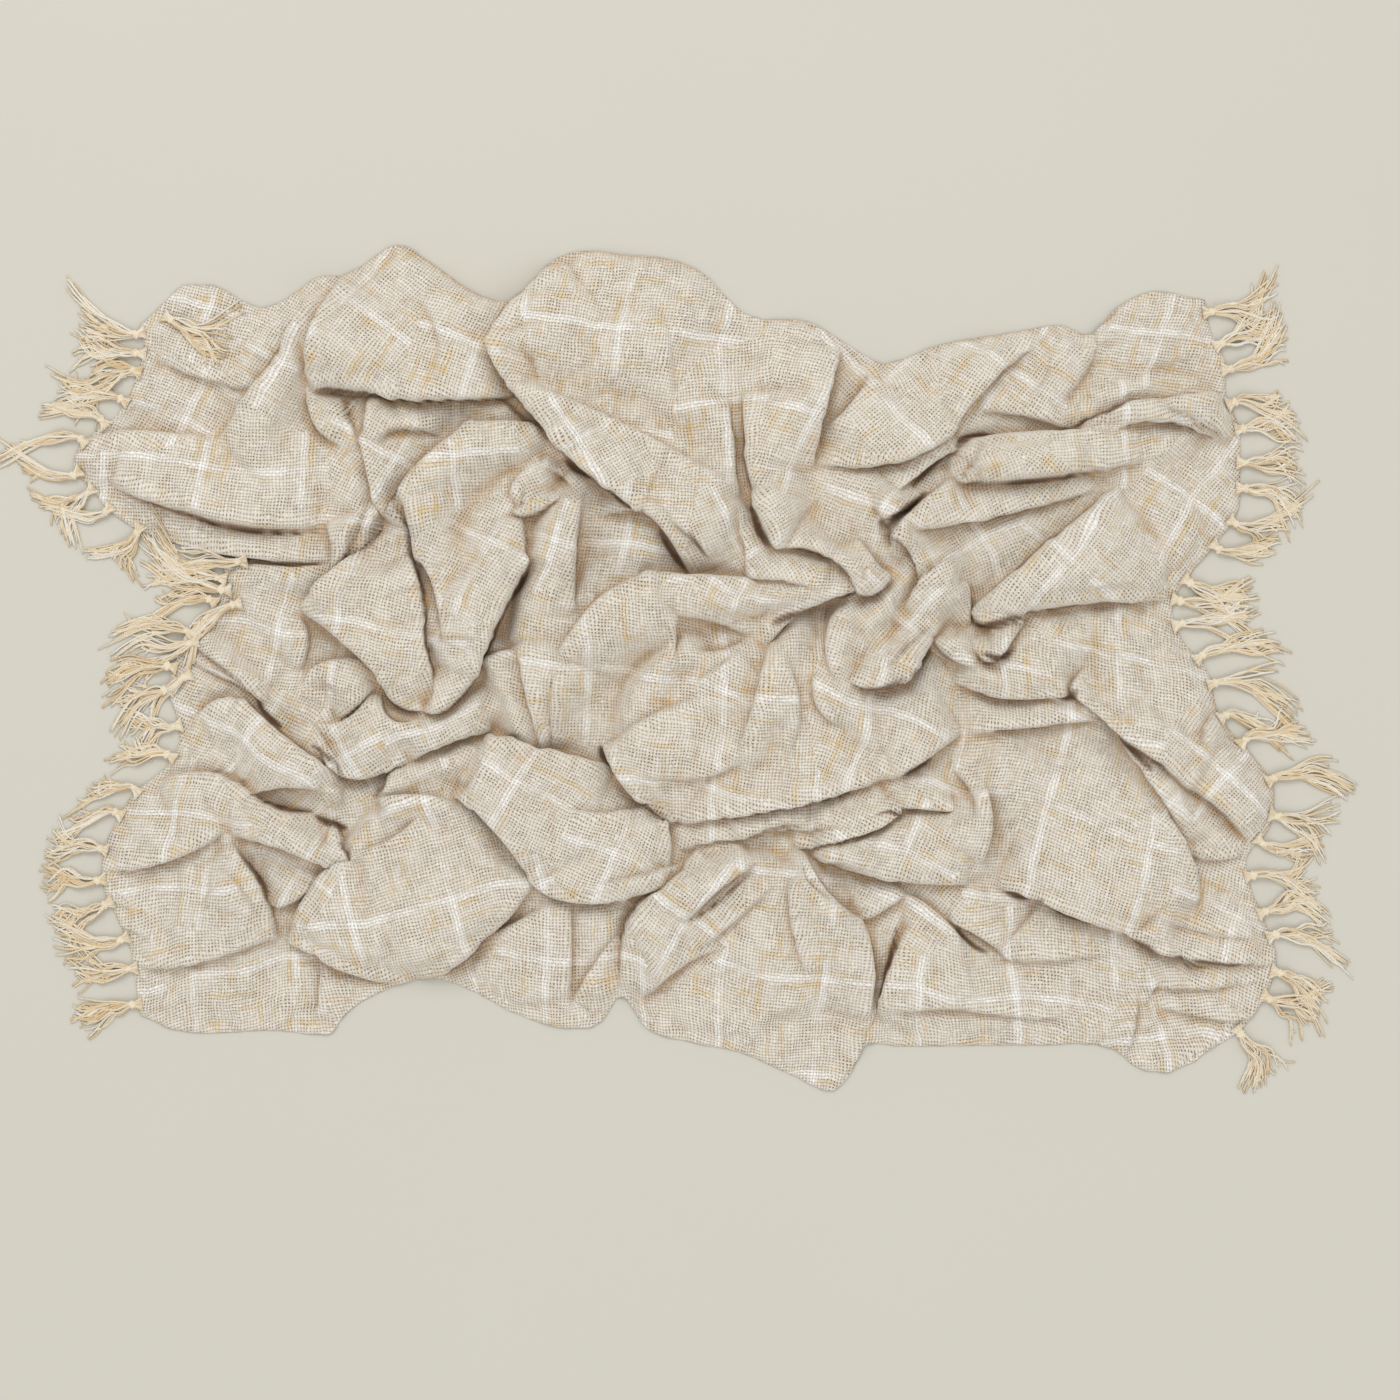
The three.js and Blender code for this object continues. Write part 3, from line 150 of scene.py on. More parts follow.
# Creases: name, plan x and y at start, middle and end, height of the step (mm), half width, high side
CREASES = (
    ("corner band", 150, 358, 200, 380, 258, 388, 6, 10, "N"),
    ("riser left", 216, 440, 262, 378, 318, 285, 12, 16, "E"),
    ("riser right", 342, 278, 319, 330, 310, 390, 14, 14, "E"),
    ("flap hem west", 316, 392, 350, 390, 400, 399, 20, 14, "N"),
    ("flap hem east", 380, 398, 450, 401, 517, 394, 22, 14, "N"),
    ("long fold hem", 112, 486, 215, 517, 318, 526, 17, 14, "N"),
    ("long fold top", 80, 436, 150, 435, 222, 440, 7, 14, "S"),
    ("left roll hem", 160, 543, 235, 553, 326, 560, 16, 12, "N"),
    ("flap fold edge", 309, 386, 319, 428, 342, 446, 12, 10, "E"),
    ("pocket tuck one", 344, 394, 350, 418, 362, 446, 10, 7, "W"),
    ("pocket tuck two", 368, 397, 367, 420, 364, 446, 10, 7, "E"),
    ("pocket ridge edge", 362, 436, 371, 484, 383, 520, 14, 10, "E"),
    ("shoulder edge", 475, 424, 424, 466, 385, 521, 22, 14, "SE"),
    ("pocket rim edge", 382, 446, 402, 432, 440, 437, 10, 8, "N"),
    ("shoulder top", 455, 428, 500, 424, 548, 432, 10, 12, "S"),
    ("roll hem one", 488, 340, 512, 392, 562, 458, 24, 16, "NE"),
    ("roll hem two", 548, 436, 590, 482, 640, 512, 26, 14, "NE"),
    ("dome left edge", 560, 256, 515, 298, 489, 345, 16, 18, "E"),
    ("roll hem three", 630, 508, 662, 532, 692, 575, 18, 12, "NE"),
    ("underfold tuck", 668, 520, 690, 536, 706, 556, 10, 8, "NE"),
    ("arch top", 562, 652, 604, 598, 660, 577, 18, 16, "SE"),
    ("arch top east", 640, 577, 690, 574, 752, 577, 14, 12, "S"),
    ("tail hem", 742, 576, 780, 581, 815, 593, 8, 10, "N"),
    ("arch tail hem", 858, 594, 806, 610, 762, 648, 17, 12, "N"),
    ("pocket upper", 676, 620, 712, 624, 746, 637, 10, 8, "N"),
    ("pocket lower", 748, 637, 722, 650, 688, 652, 8, 8, "S"),
    ("pocket side", 682, 621, 675, 640, 679, 664, 8, 8, "W"),
    ("swirl right", 532, 560, 506, 612, 476, 678, 24, 13, "W"),
    ("foot top", 480, 662, 502, 651, 528, 643, 8, 8, "S"),
    ("foot side", 520, 642, 530, 692, 545, 747, 10, 14, "E"),
    ("middle lobe top", 484, 731, 545, 745, 614, 763, 16, 14, "S"),
    ("bent fold hem", 412, 758, 446, 742, 490, 731, 16, 12, "N"),
    ("body left", 604, 742, 628, 786, 672, 826, 20, 15, "E"),
    ("body hem", 672, 822, 780, 806, 905, 770, 15, 13, "N"),
    ("body hem east", 895, 774, 930, 755, 965, 733, 14, 12, "N"),
    ("short tuck", 738, 838, 768, 827, 806, 822, 11, 8, "N"),
    ("second tuck", 785, 804, 812, 797, 838, 788, 10, 8, "N"),
    ("roll between", 678, 851, 750, 836, 862, 824, 8, 9, "N"),
    ("roll lower hem", 796, 853, 866, 830, 902, 808, 18, 11, "N"),
    ("roll lower east", 890, 812, 915, 807, 950, 808, 12, 9, "N"),
    ("strip hem", 968, 734, 1030, 731, 1108, 721, 12, 10, "N"),
    ("strip top", 955, 683, 1005, 698, 1068, 697, 14, 10, "N"),
    ("knot hem", 852, 681, 888, 687, 922, 664, 20, 11, "N"),
    ("knot crossing", 886, 670, 903, 650, 932, 624, 10, 8, "SE"),
    ("knot roll edge", 902, 684, 922, 663, 933, 638, 17, 9, "NW"),
    ("knot right tuck", 936, 640, 950, 660, 980, 667, 11, 9, "NE"),
    ("hook edge", 974, 638, 995, 660, 1029, 615, 16, 9, "N"),
    ("hook mouth", 972, 608, 992, 626, 1030, 614, 12, 8, "N"),
    ("flap upper edge", 972, 610, 1040, 550, 1112, 488, 18, 18, "SE"),
    ("flap lower edge", 1000, 616, 1080, 608, 1168, 600, 14, 13, "N"),
    ("shoulder hem", 818, 464, 900, 462, 962, 424, 14, 14, "N"),
    ("shoulder east", 950, 434, 990, 385, 1042, 340, 10, 14, "NW"),
    ("slope strip hem", 900, 492, 932, 466, 964, 446, 15, 10, "N"),
    ("roll three top", 956, 450, 1000, 437, 1105, 434, 12, 11, "S"),
    ("roll two top", 1075, 432, 1130, 405, 1225, 394, 12, 11, "S"),
    ("roll two hem", 1110, 436, 1165, 425, 1226, 446, 13, 11, "N"),
    ("roll three hem", 958, 478, 1000, 486, 1142, 465, 13, 10, "N"),
    ("roll one hem", 980, 414, 1025, 418, 1065, 431, 8, 9, "N"),
    ("hollow upper", 876, 522, 900, 514, 926, 496, 11, 8, "N"),
    ("roll four top", 886, 541, 910, 514, 952, 480, 12, 9, "SE"),
    ("roll four foot", 884, 534, 904, 552, 916, 592, 12, 9, "E"),
    ("roll four hem", 912, 531, 985, 522, 1092, 494, 13, 12, "N"),
    ("groove", 742, 392, 746, 450, 756, 512, 15, 14, "E"),
    ("groove deep", 750, 488, 760, 524, 778, 547, 20, 12, "E"),
    ("groove hem", 768, 545, 820, 556, 851, 594, 17, 12, "NE"),
    ("groove end", 848, 593, 868, 594, 886, 574, 14, 9, "N"),
    ("slope tuck", 856, 536, 868, 556, 886, 576, 10, 9, "W"),
    ("crest edge", 840, 352, 826, 408, 815, 470, 15, 11, "W"),
    ("shoulder start", 870, 376, 852, 404, 831, 426, 12, 12, "E"),
    ("finger edge", 955, 561, 920, 578, 903, 612, 10, 10, "SE"),
    ("body fold one", 838, 608, 824, 640, 836, 684, 9, 10, "E"),
    ("body fold two", 766, 640, 754, 694, 736, 752, 9, 14, "E"),
    ("body fold three", 814, 676, 818, 706, 838, 724, 7, 10, "E"),
    ("panel tuck", 1088, 668, 1070, 692, 1094, 713, 12, 9, "E"),
    ("right panel edge", 1086, 708, 1130, 745, 1192, 786, 15, 12, "NE"),
    ("right lobe edge", 1176, 778, 1215, 806, 1254, 850, 12, 12, "NE"),
    ("under strip edge", 1104, 724, 1140, 775, 1186, 842, 8, 12, "NE"),
    ("under strip hem", 1170, 846, 1212, 860, 1250, 852, 8, 10, "N"),
    ("lobe tuck", 1197, 745, 1203, 725, 1216, 712, 8, 8, "E"),
    ("big panel hem", 995, 884, 1060, 910, 1132, 935, 16, 14, "N"),
    ("big panel hem east", 1118, 930, 1165, 955, 1282, 966, 13, 11, "N"),
    ("pocket by rim", 986, 786, 990, 826, 978, 860, 17, 10, "W"),
    ("big panel right", 1160, 812, 1188, 856, 1194, 904, 13, 13, "W"),
    ("rim inner", 952, 768, 969, 790, 971, 820, 9, 9, "E"),
    ("mid lobe hem", 808, 852, 870, 876, 968, 882, 14, 12, "N"),
    ("jumble pocket", 905, 896, 930, 908, 962, 940, 10, 10, "S"),
    ("jumble tuck", 946, 918, 978, 934, 1008, 957, 12, 9, "NE"),
    ("gap left", 862, 912, 870, 965, 866, 1016, 14, 12, "W"),
    ("gap right", 908, 922, 888, 965, 872, 1016, 12, 12, "E"),
    ("low line", 985, 955, 1040, 958, 1104, 955, 6, 10, "N"),
    ("tip line", 1130, 992, 1132, 1030, 1124, 1060, 9, 10, "W"),
    ("low roll line one", 1126, 988, 1200, 984, 1262, 980, 8, 9, "N"),
    ("low roll line two", 1150, 1004, 1200, 1014, 1256, 1018, 8, 9, "N"),
    ("bottom line", 884, 1012, 960, 1008, 1066, 1019, 7, 10, "N"),
    ("flap side edge", 664, 888, 628, 924, 620, 990, 14, 13, "E"),
    ("flap roll edge", 754, 866, 722, 888, 682, 922, 13, 9, "NW"),
    ("flap soft line", 720, 948, 680, 968, 640, 1002, 7, 10, "NW"),
    ("flap ridge line", 806, 856, 832, 894, 864, 922, 11, 11, "SW"),
    ("flap middle line", 786, 876, 788, 926, 802, 975, 7, 11, "E"),
    ("jumble line", 816, 861, 846, 862, 876, 873, 8, 8, "N"),
    ("jumble line two", 858, 922, 880, 914, 908, 897, 9, 9, "N"),
    ("middle lobe left", 454, 796, 494, 826, 535, 882, 19, 14, "NE"),
    ("middle lobe hem", 525, 876, 580, 902, 668, 886, 15, 12, "N"),
    ("middle lobe line", 562, 804, 606, 810, 648, 800, 6, 12, "S"),
    ("middle lobe right", 642, 796, 668, 820, 668, 864, 13, 11, "W"),
    ("lobe divide", 488, 738, 482, 772, 456, 798, 8, 12, "E"),
    ("hem roll line", 596, 879, 640, 872, 694, 854, 6, 8, "S"),
    ("oval hem west", 284, 940, 340, 968, 404, 987, 15, 13, "N"),
    ("oval hem east", 396, 988, 465, 960, 534, 882, 15, 14, "NW"),
    ("oval upper left", 354, 858, 312, 884, 292, 936, 10, 12, "E"),
    ("oval pocket", 362, 852, 396, 838, 422, 820, 8, 10, "S"),
    ("oval top", 376, 802, 410, 796, 458, 802, 9, 10, "S"),
    ("crossed lower", 302, 608, 350, 645, 390, 684, 16, 12, "NE"),
    ("crossed tip", 380, 672, 400, 700, 430, 706, 14, 10, "NE"),
    ("crossed right", 424, 618, 430, 650, 438, 694, 13, 10, "W"),
    ("crossed upper", 304, 606, 334, 576, 384, 526, 13, 12, "SE"),
    ("foot divide", 406, 556, 420, 588, 426, 624, 13, 10, "W"),
    ("swirl left", 418, 556, 436, 592, 446, 640, 10, 10, "E"),
    ("swirl hem", 424, 706, 450, 704, 482, 664, 17, 10, "NW"),
    ("shoulder left", 410, 500, 411, 530, 412, 566, 15, 13, "E"),
    ("left mid top", 192, 722, 222, 700, 252, 706, 10, 10, "S"),
    ("left mid edge", 244, 700, 280, 726, 348, 778, 15, 11, "SW"),
    ("curl hem", 322, 744, 352, 776, 414, 757, 17, 11, "N"),
    ("curl inner", 312, 716, 330, 740, 346, 764, 8, 8, "SW"),
    ("bent fold top", 318, 720, 350, 714, 374, 688, 9, 10, "S"),
    ("upright pocket", 384, 690, 396, 716, 424, 712, 11, 9, "S"),
    ("left mid hem", 252, 798, 286, 787, 322, 788, 13, 10, "N"),
    ("tuck hem", 258, 797, 288, 811, 318, 810, 11, 9, "SW"),
    ("left low hem", 106, 872, 165, 862, 228, 834, 12, 12, "N"),
    ("left low hem east", 232, 837, 285, 849, 336, 873, 13, 10, "N"),
    ("left low top", 160, 781, 215, 776, 264, 800, 9, 12, "S"),
    ("low panel edge", 232, 842, 262, 886, 278, 942, 14, 11, "W"),
    ("tuck two hem", 270, 908, 300, 898, 318, 878, 9, 9, "N"),
    ("low panel hem", 132, 966, 190, 962, 276, 938, 9, 11, "N"),
    ("seam roll hem", 182, 654, 232, 684, 268, 702, 10, 9, "NE"),
    ("notch line", 232, 562, 280, 563, 326, 562, 7, 9, "S"),
    ("back fold edge", 326, 524, 331, 556, 318, 606, 11, 10, "E"),
    ("bridge edge", 372, 500, 378, 530, 352, 562, 13, 10, "W"),
    ("under panel top", 308, 686, 322, 662, 372, 660, 9, 10, "S"),
    ("under panel hem", 340, 716, 362, 702, 378, 684, 10, 9, "N"),
    ("inner right edge", 302, 612, 310, 640, 300, 668, 8, 10, "W"),
    ("small hole", 326, 824, 338, 826, 350, 862, 12, 8, "W"),
    ("dark nook", 382, 768, 388, 782, 376, 800, 14, 8, "E"),
    ("swirl eye edge", 512, 514, 530, 520, 566, 496, 12, 8, "N"),
    ("swirl inner edge", 522, 520, 526, 548, 530, 580, 12, 9, "W"),
    ("swirl rim edge", 540, 474, 560, 480, 572, 496, 10, 8, "NE"),
    ("pleat edge", 584, 500, 578, 550, 578, 612, 12, 12, "W"),
    ("panel line", 596, 520, 620, 515, 644, 512, 9, 9, "N"),
    ("inner bottom line", 568, 902, 570, 950, 568, 1004, 8, 10, "W"),
    ("inner bottom two", 598, 962, 578, 988, 570, 1005, 7, 9, "SE"),
    ("inner bottom top", 470, 940, 500, 930, 545, 905, 8, 12, "S"),
)

# Panels of the check: name, plan place of a crossing of its lines, clockwise turn in degrees, reach
PANELS = (
    ("corner flap", 210, 308, 16, 46),
    ("upper left band", 184, 424, 24, 50),
    ("long left fold", 205, 466, 5, 60),
    ("left riser", 285, 365, 30, 40),
    ("upper flap", 352, 300, 34, 52),
    ("upper flap right", 480, 345, 20, 46),
    ("dome", 622, 330, 5, 84),
    ("strip", 722, 402, -5, 44),
    ("diagonal roll", 580, 445, -34, 46),
    ("diagonal tail", 742, 556, -30, 40),
    ("back panel", 812, 415, 15, 46),
    ("right shoulder", 874, 388, 42, 44),
    ("right hollow", 1010, 372, 28, 50),
    ("right round", 1158, 335, 6, 60),
    ("back rolls", 1120, 430, -8, 46),
    ("shaded panel", 985, 540, -24, 46),
    ("right flap", 1066, 562, 32, 60),
    ("right flap corner", 1190, 500, 30, 50),
    ("under shoulder", 884, 508, 24, 36),
    ("knot", 905, 625, 44, 40),
    ("knot lobe", 1005, 662, 12, 34),
    ("right panel", 1116, 658, 9, 50),
    ("right lobe", 1225, 775, 38, 46),
    ("under strip", 1168, 800, 40, 24),
    ("big right panel", 1045, 805, 14, 84),
    ("right corner panel", 1235, 915, 18, 46),
    ("low right", 1010, 992, 2, 70),
    ("low right tip", 1160, 1035, -8, 40),
    ("jumble", 905, 905, 30, 40),
    ("bottom flap", 820, 976, 9, 80),
    ("flap roll", 690, 915, 34, 38),
    ("mid right lobe", 905, 848, 20, 40),
    ("body", 722, 690, 6, 84),
    ("body right", 870, 705, 24, 56),
    ("centre arch", 592, 667, 9, 54),
    ("arch tail", 735, 595, 14, 34),
    ("middle panel", 625, 545, 2, 44),
    ("middle pleat", 556, 545, 12, 30),
    ("inner swirl", 492, 545, 26, 36),
    ("round shoulder", 458, 462, -6, 44),
    ("pocket floor", 400, 460, 30, 34),
    ("crossed panel", 346, 620, 11, 54),
    ("middle lobe", 522, 780, 28, 56),
    ("middle lobe right", 616, 850, 26, 46),
    ("bent fold", 430, 725, -20, 34),
    ("left inner", 280, 630, 12, 44),
    ("left mid lobe", 250, 742, 34, 50),
    ("curl", 350, 750, -30, 30),
    ("left low lobe", 178, 812, 15, 50),
    ("left low panel", 205, 888, 6, 50),
    ("low left corner", 196, 975, -1, 66),
    ("tuck", 300, 870, 30, 30),
    ("oval lobe", 452, 898, -13, 78),
    ("inner bottom", 545, 960, 3, 60),
)

# Tassels: end of the sheet, plan y of the place on that end, plan place that the longest yarn points to
TASSELS = (
    ("left", 334, 70, 316),
    ("left", 356, 72, 344),
    ("left", 374, 90, 372),
    ("left", 402, 52, 384),
    ("left", 424, 44, 404),
    ("left", 447, 12, 440),
    ("left", 468, 14, 470),
    ("left", 488, 36, 500),
    ("left", 509, 52, 526),
    ("left", 529, 92, 556),
    ("left", 578, 150, 576),
    ("left", 606, 138, 596),
    ("left", 634, 118, 626),
    ("left", 662, 106, 676),
    ("left", 694, 112, 712),
    ("left", 726, 118, 738),
    ("left", 757, 104, 762),
    ("left", 790, 66, 790),
    ("left", 820, 56, 826),
    ("left", 850, 42, 848),
    ("left", 878, 36, 880),
    ("left", 908, 48, 916),
    ("left", 938, 62, 952),
    ("left", 968, 70, 984),
    ("left", 998, 72, 1036),
    ("right", 318, 1280, 300),
    ("right", 342, 1286, 334),
    ("right", 370, 1296, 366),
    ("right", 402, 1298, 400),
    ("right", 432, 1300, 432),
    ("right", 462, 1308, 464),
    ("right", 492, 1308, 496),
    ("right", 520, 1300, 530),
    ("right", 546, 1280, 562),
    ("right", 574, 1262, 592),
    ("right", 598, 1254, 610),
    ("right", 630, 1262, 640),
    ("right", 658, 1286, 672),
    ("right", 686, 1292, 694),
    ("right", 716, 1300, 710),
    ("right", 746, 1318, 740),
    ("right", 780, 1346, 772),
    ("right", 812, 1344, 812),
    ("right", 843, 1318, 852),
    ("right", 876, 1314, 882),
    ("right", 906, 1328, 912),
    ("right", 936, 1342, 938),
    ("right", 968, 1340, 984),
    ("right", 1000, 1312, 1032),
    ("right", 1030, 1272, 1086),
)

# Small tucks and wrinkles between the creases, with the same columns
WRINKLES = (
    ("cone right edge", 402, 500, 412, 560, 418, 588, 10, 8, "W"),
    ("riser foot", 366, 500, 351, 545, 324, 588, 10, 8, "W"),
    ("left end tuck", 328, 782, 342, 790, 338, 802, 6, 5, "W"),
    ("low left ridge", 214, 868, 240, 884, 262, 926, 6, 12, "W"),
    ("corner fold", 318, 962, 320, 990, 312, 1026, 8, 8, "E"),
    ("left roll line", 185, 640, 222, 668, 262, 698, 10, 7, "NE"),
    ("flap ridge", 400, 258, 356, 300, 326, 340, 4, 16, "SE"),
    ("flap soft fold", 420, 300, 440, 345, 430, 390, 4, 14, "E"),
    ("roll upper line", 524, 384, 620, 424, 728, 482, 6, 12, "SW"),
    ("groove left bank", 728, 396, 731, 445, 738, 492, 8, 8, "W"),
    ("dome soft fold", 640, 290, 668, 340, 672, 400, 4, 16, "W"),
    ("narrow fold", 735, 504, 742, 545, 742, 576, 6, 8, "E"),
    ("rose left edge", 520, 512, 512, 494, 524, 474, 8, 7, "E"),
    ("arch foot", 560, 660, 555, 700, 556, 746, 7, 10, "E"),
    ("body soft ridge", 612, 742, 652, 716, 702, 696, 6, 12, "SE"),
    ("low body ridge", 640, 772, 700, 775, 744, 756, 6, 12, "N"),
    ("body upper ridge", 690, 690, 720, 664, 742, 650, 5, 10, "S"),
    ("body right ridge", 780, 650, 800, 700, 790, 750, 5, 12, "W"),
    ("lobe corner edge", 699, 850, 672, 876, 650, 900, 9, 8, "SE"),
    ("lobe second fold", 694, 952, 736, 920, 776, 884, 6, 12, "NW"),
    ("lobe right fold", 800, 862, 812, 888, 848, 914, 8, 9, "SW"),
    ("panel fold", 578, 992, 598, 958, 618, 936, 6, 8, "S"),
    ("panel end fold", 574, 1000, 590, 1014, 592, 1030, 5, 7, "W"),
    ("slope pocket", 872, 508, 890, 530, 884, 552, 13, 8, "E"),
    ("upright slit", 970, 582, 973, 604, 976, 622, 11, 6, "W"),
    ("corner lobe edge", 1108, 300, 1098, 320, 1095, 344, 10, 8, "E"),
    ("corner soft fold", 1096, 336, 1086, 370, 1060, 402, 5, 12, "W"),
    ("corner second fold", 1042, 336, 1046, 372, 1020, 404, 4, 10, "E"),
    ("panel small fan", 1040, 900, 1022, 922, 1004, 940, 6, 8, "E"),
    ("right end line", 1160, 410, 1200, 424, 1234, 444, 8, 7, "N"),
    ("right low roll", 1150, 912, 1200, 930, 1262, 940, 5, 10, "N"),
)

# Gaps between overlapping folds, sunk and darkened with painted shade: name, then x and y at three stations
# and the half width
SLITS = (
    ("shoulder gap", 411, 478, 406, 492, 402, 506, 4.5),
    ("riser gap", 374, 516, 369, 535, 360, 552, 3.2),
    ("riser low gap", 404, 520, 408, 560, 424, 592, 2.5),
    ("cone gap", 428, 602, 426, 640, 438, 674, 2.5),
    ("flap hem gap", 330, 394, 400, 400, 476, 402, 2.2),
    ("long left gap", 176, 506, 240, 524, 318, 530, 1.2),
    ("second left gap", 182, 548, 220, 555, 262, 556, 1.6),
    ("left pocket gap", 258, 698, 270, 712, 286, 724, 3.8),
    ("left low gap", 254, 798, 286, 808, 314, 810, 2.0),
    ("left end gap", 316, 812, 332, 822, 348, 826, 4.0),
    ("small lobe gap", 338, 838, 346, 850, 352, 864, 2.5),
    ("knuckle gap", 312, 740, 332, 752, 350, 772, 2.0),
    ("bend gap", 385, 768, 390, 782, 380, 796, 4.0),
    ("left pleat gap", 236, 852, 256, 874, 268, 892, 3.5),
    ("lobe shadow gap", 472, 806, 488, 822, 512, 846, 4.0),
    ("dome foot gap", 498, 396, 520, 420, 548, 448, 2.5),
    ("column top gap", 526, 560, 522, 585, 506, 606, 3.5),
    ("column foot gap", 506, 610, 494, 640, 480, 672, 3.5),
    ("strap gap", 562, 462, 580, 476, 602, 485, 4.5),
    ("strap hem gap", 606, 492, 624, 506, 644, 509, 3.0),
    ("valley gap", 656, 530, 670, 550, 692, 574, 2.8),
    ("second valley gap", 688, 526, 698, 542, 708, 556, 2.2),
    ("groove gap", 748, 496, 756, 525, 770, 546, 2.6),
    ("arch tip gap", 766, 626, 782, 616, 806, 607, 3.0),
    ("arch end gap", 836, 602, 846, 595, 854, 589, 3.5),
    ("body corner gap", 602, 742, 607, 756, 618, 770, 5.5),
    ("body side gap", 630, 786, 652, 806, 682, 822, 3.0),
    ("low band gap", 745, 808, 800, 803, 852, 790, 2.2),
    ("front lobe gap", 684, 922, 716, 903, 752, 873, 1.5),
    ("knot gap", 906, 672, 922, 664, 934, 650, 5.5),
    ("knot hem gap", 862, 684, 884, 684, 902, 672, 3.0),
    ("upright gap", 970, 596, 974, 612, 978, 624, 2.5),
    ("hook gap", 978, 624, 1000, 622, 1028, 612, 3.2),
    ("hook foot gap", 984, 650, 1002, 655, 1018, 646, 3.0),
    ("strip end gap", 1054, 695, 1066, 699, 1078, 690, 4.5),
    ("panel side gap", 1092, 712, 1120, 736, 1150, 770, 3.5),
    ("middle gap", 898, 772, 914, 764, 936, 757, 4.5),
    ("band gap", 870, 812, 900, 806, 950, 809, 2.0),
    ("pocket gap", 1004, 888, 1022, 896, 1044, 892, 4.0),
    ("panel hem gap", 1042, 896, 1060, 912, 1088, 923, 3.0),
    ("rim gap", 1116, 928, 1134, 938, 1154, 949, 4.0),
    ("low right gap", 1152, 950, 1200, 956, 1256, 962, 2.2),
    ("jumble gap", 956, 924, 968, 940, 988, 951, 3.5),
    ("jumble side gap", 872, 1006, 884, 970, 896, 925, 3.2),
    ("roll gap", 890, 530, 904, 512, 930, 492, 5.0),
    ("upper right gap", 914, 488, 932, 470, 954, 451, 3.2),
    ("roll top gap", 952, 446, 976, 437, 1012, 438, 2.8),
    ("roll hem gap", 1000, 487, 1040, 484, 1084, 478, 2.2),
    ("long fold gap", 1056, 433, 1090, 422, 1132, 403, 2.6),
)

# Tassels whose knots lie on turned cloth: end, plan place of the knot, plan place of the tip
TURNED_TASSELS = (
    ("left", 168, 318, 226, 352),
    ("left", 128, 372, 70, 408),
    ("left", 245, 562, 158, 570),
    ("left", 228, 590, 142, 588),
    ("left", 238, 604, 166, 618),
    ("left", 196, 642, 128, 668),
    ("left", 190, 676, 132, 704),
)

# Thickness of the cloth, and the heap's profile in millimetres, as the part's solids have them
THICKNESS = 2.6
FLOOR_SINK = 11.0
FLOOR_EASE = 3.5
HEAP_FLOOR = 9.0
HEAP_LIMIT = 66.0
# Width of the rounded rim in plan units, and the folds' widening, fullness and blending
RIM_WIDTH = 24.0
FOLD_GROW = 1.38
FOLD_FULLNESS = 1.1
FOLD_BLEND = 3.0
# Creases: gain of the step, taper to the ends, dip on the low side, reach of both sides in half widths,
# and the reaches beyond which a crease is not felt
CREASE_GAIN = 1.15
CREASE_TAPER = 0.6
CREASE_DIP = 0.35
CREASE_REACH = 2.6
CREASE_LOW_WIDTH = 1.5
CREASE_FADED = 2.5
# Pieces of a path, rows of the solids' rim, and how near a tassel may come to the end of such a row
PATH_STEPS = 14
RIM_ROWS = 39
SEAT_MARGIN = 0.35
# Length of the sheet's plan from its left to its right end, and from its back to its front edge
SPAN_ACROSS = 1065
SPAN_DOWN = 690
# Side of the table of random values that noise over the plan repeats
NOISE_SIZE = 128

COMPASS = {"N": (0, -1), "S": (0, 1), "E": (1, 0), "W": (-1, 0),
           "NE": (1, -1), "NW": (-1, -1), "SE": (1, 1), "SW": (-1, 1)}

Array = np.ndarray


class End(Enum):
    """The two fringed ends of the sheet."""

    LEFT = "left"
    RIGHT = "right"


def mix(start: Any, end: Any, share: Any) -> Any:
    """Straight mix of two values by a share."""
    return start + (end - start) * share


def through(start: float, middle: float, end: float, share: Array) -> Array:
    """Parabola through three stations at shares 0, a half and 1."""
    rest = 1 - share
    return start * rest * (1 - 2 * share) + middle * 4 * share * rest + end * share * (2 * share - 1)


def edge_value(pairs: Sequence, position: Array) -> Array:
    """Smooth curve through pairs of key and value.

    A cubic between each two pairs, whose slope at a pair is the mean of the two chords beside it.

    Args:
        pairs: (key, value) rows in rising order of key.
        position: keys to read the curve at.

    Returns:
        The values there.
    """
    key, value = np.array(pairs, float).T
    chord = np.diff(value) / np.diff(key)
    slope = np.concatenate([chord[:1], (chord[1:] + chord[:-1]) / 2, chord[-1:]])
    same = np.concatenate([[False], chord[1:] * chord[:-1] > 0, [False]])
    slope = np.where(same, slope, 0.3 * slope)
    index = np.clip(np.searchsorted(key, position) - 1, 0, len(key) - 2)
    width = key[index + 1] - key[index]
    t = np.clip((position - key[index]) / width, 0, 1)
    return ((2 * t**3 - 3 * t**2 + 1) * value[index] + (t**3 - 2 * t**2 + t) * width * slope[index]
            + (3 * t**2 - 2 * t**3) * value[index + 1] + (t**3 - t**2) * width * slope[index + 1])


def swapped(rows: Sequence) -> list:
    """Pairs with their two values changed over."""
    return [(second, first) for first, second in rows]


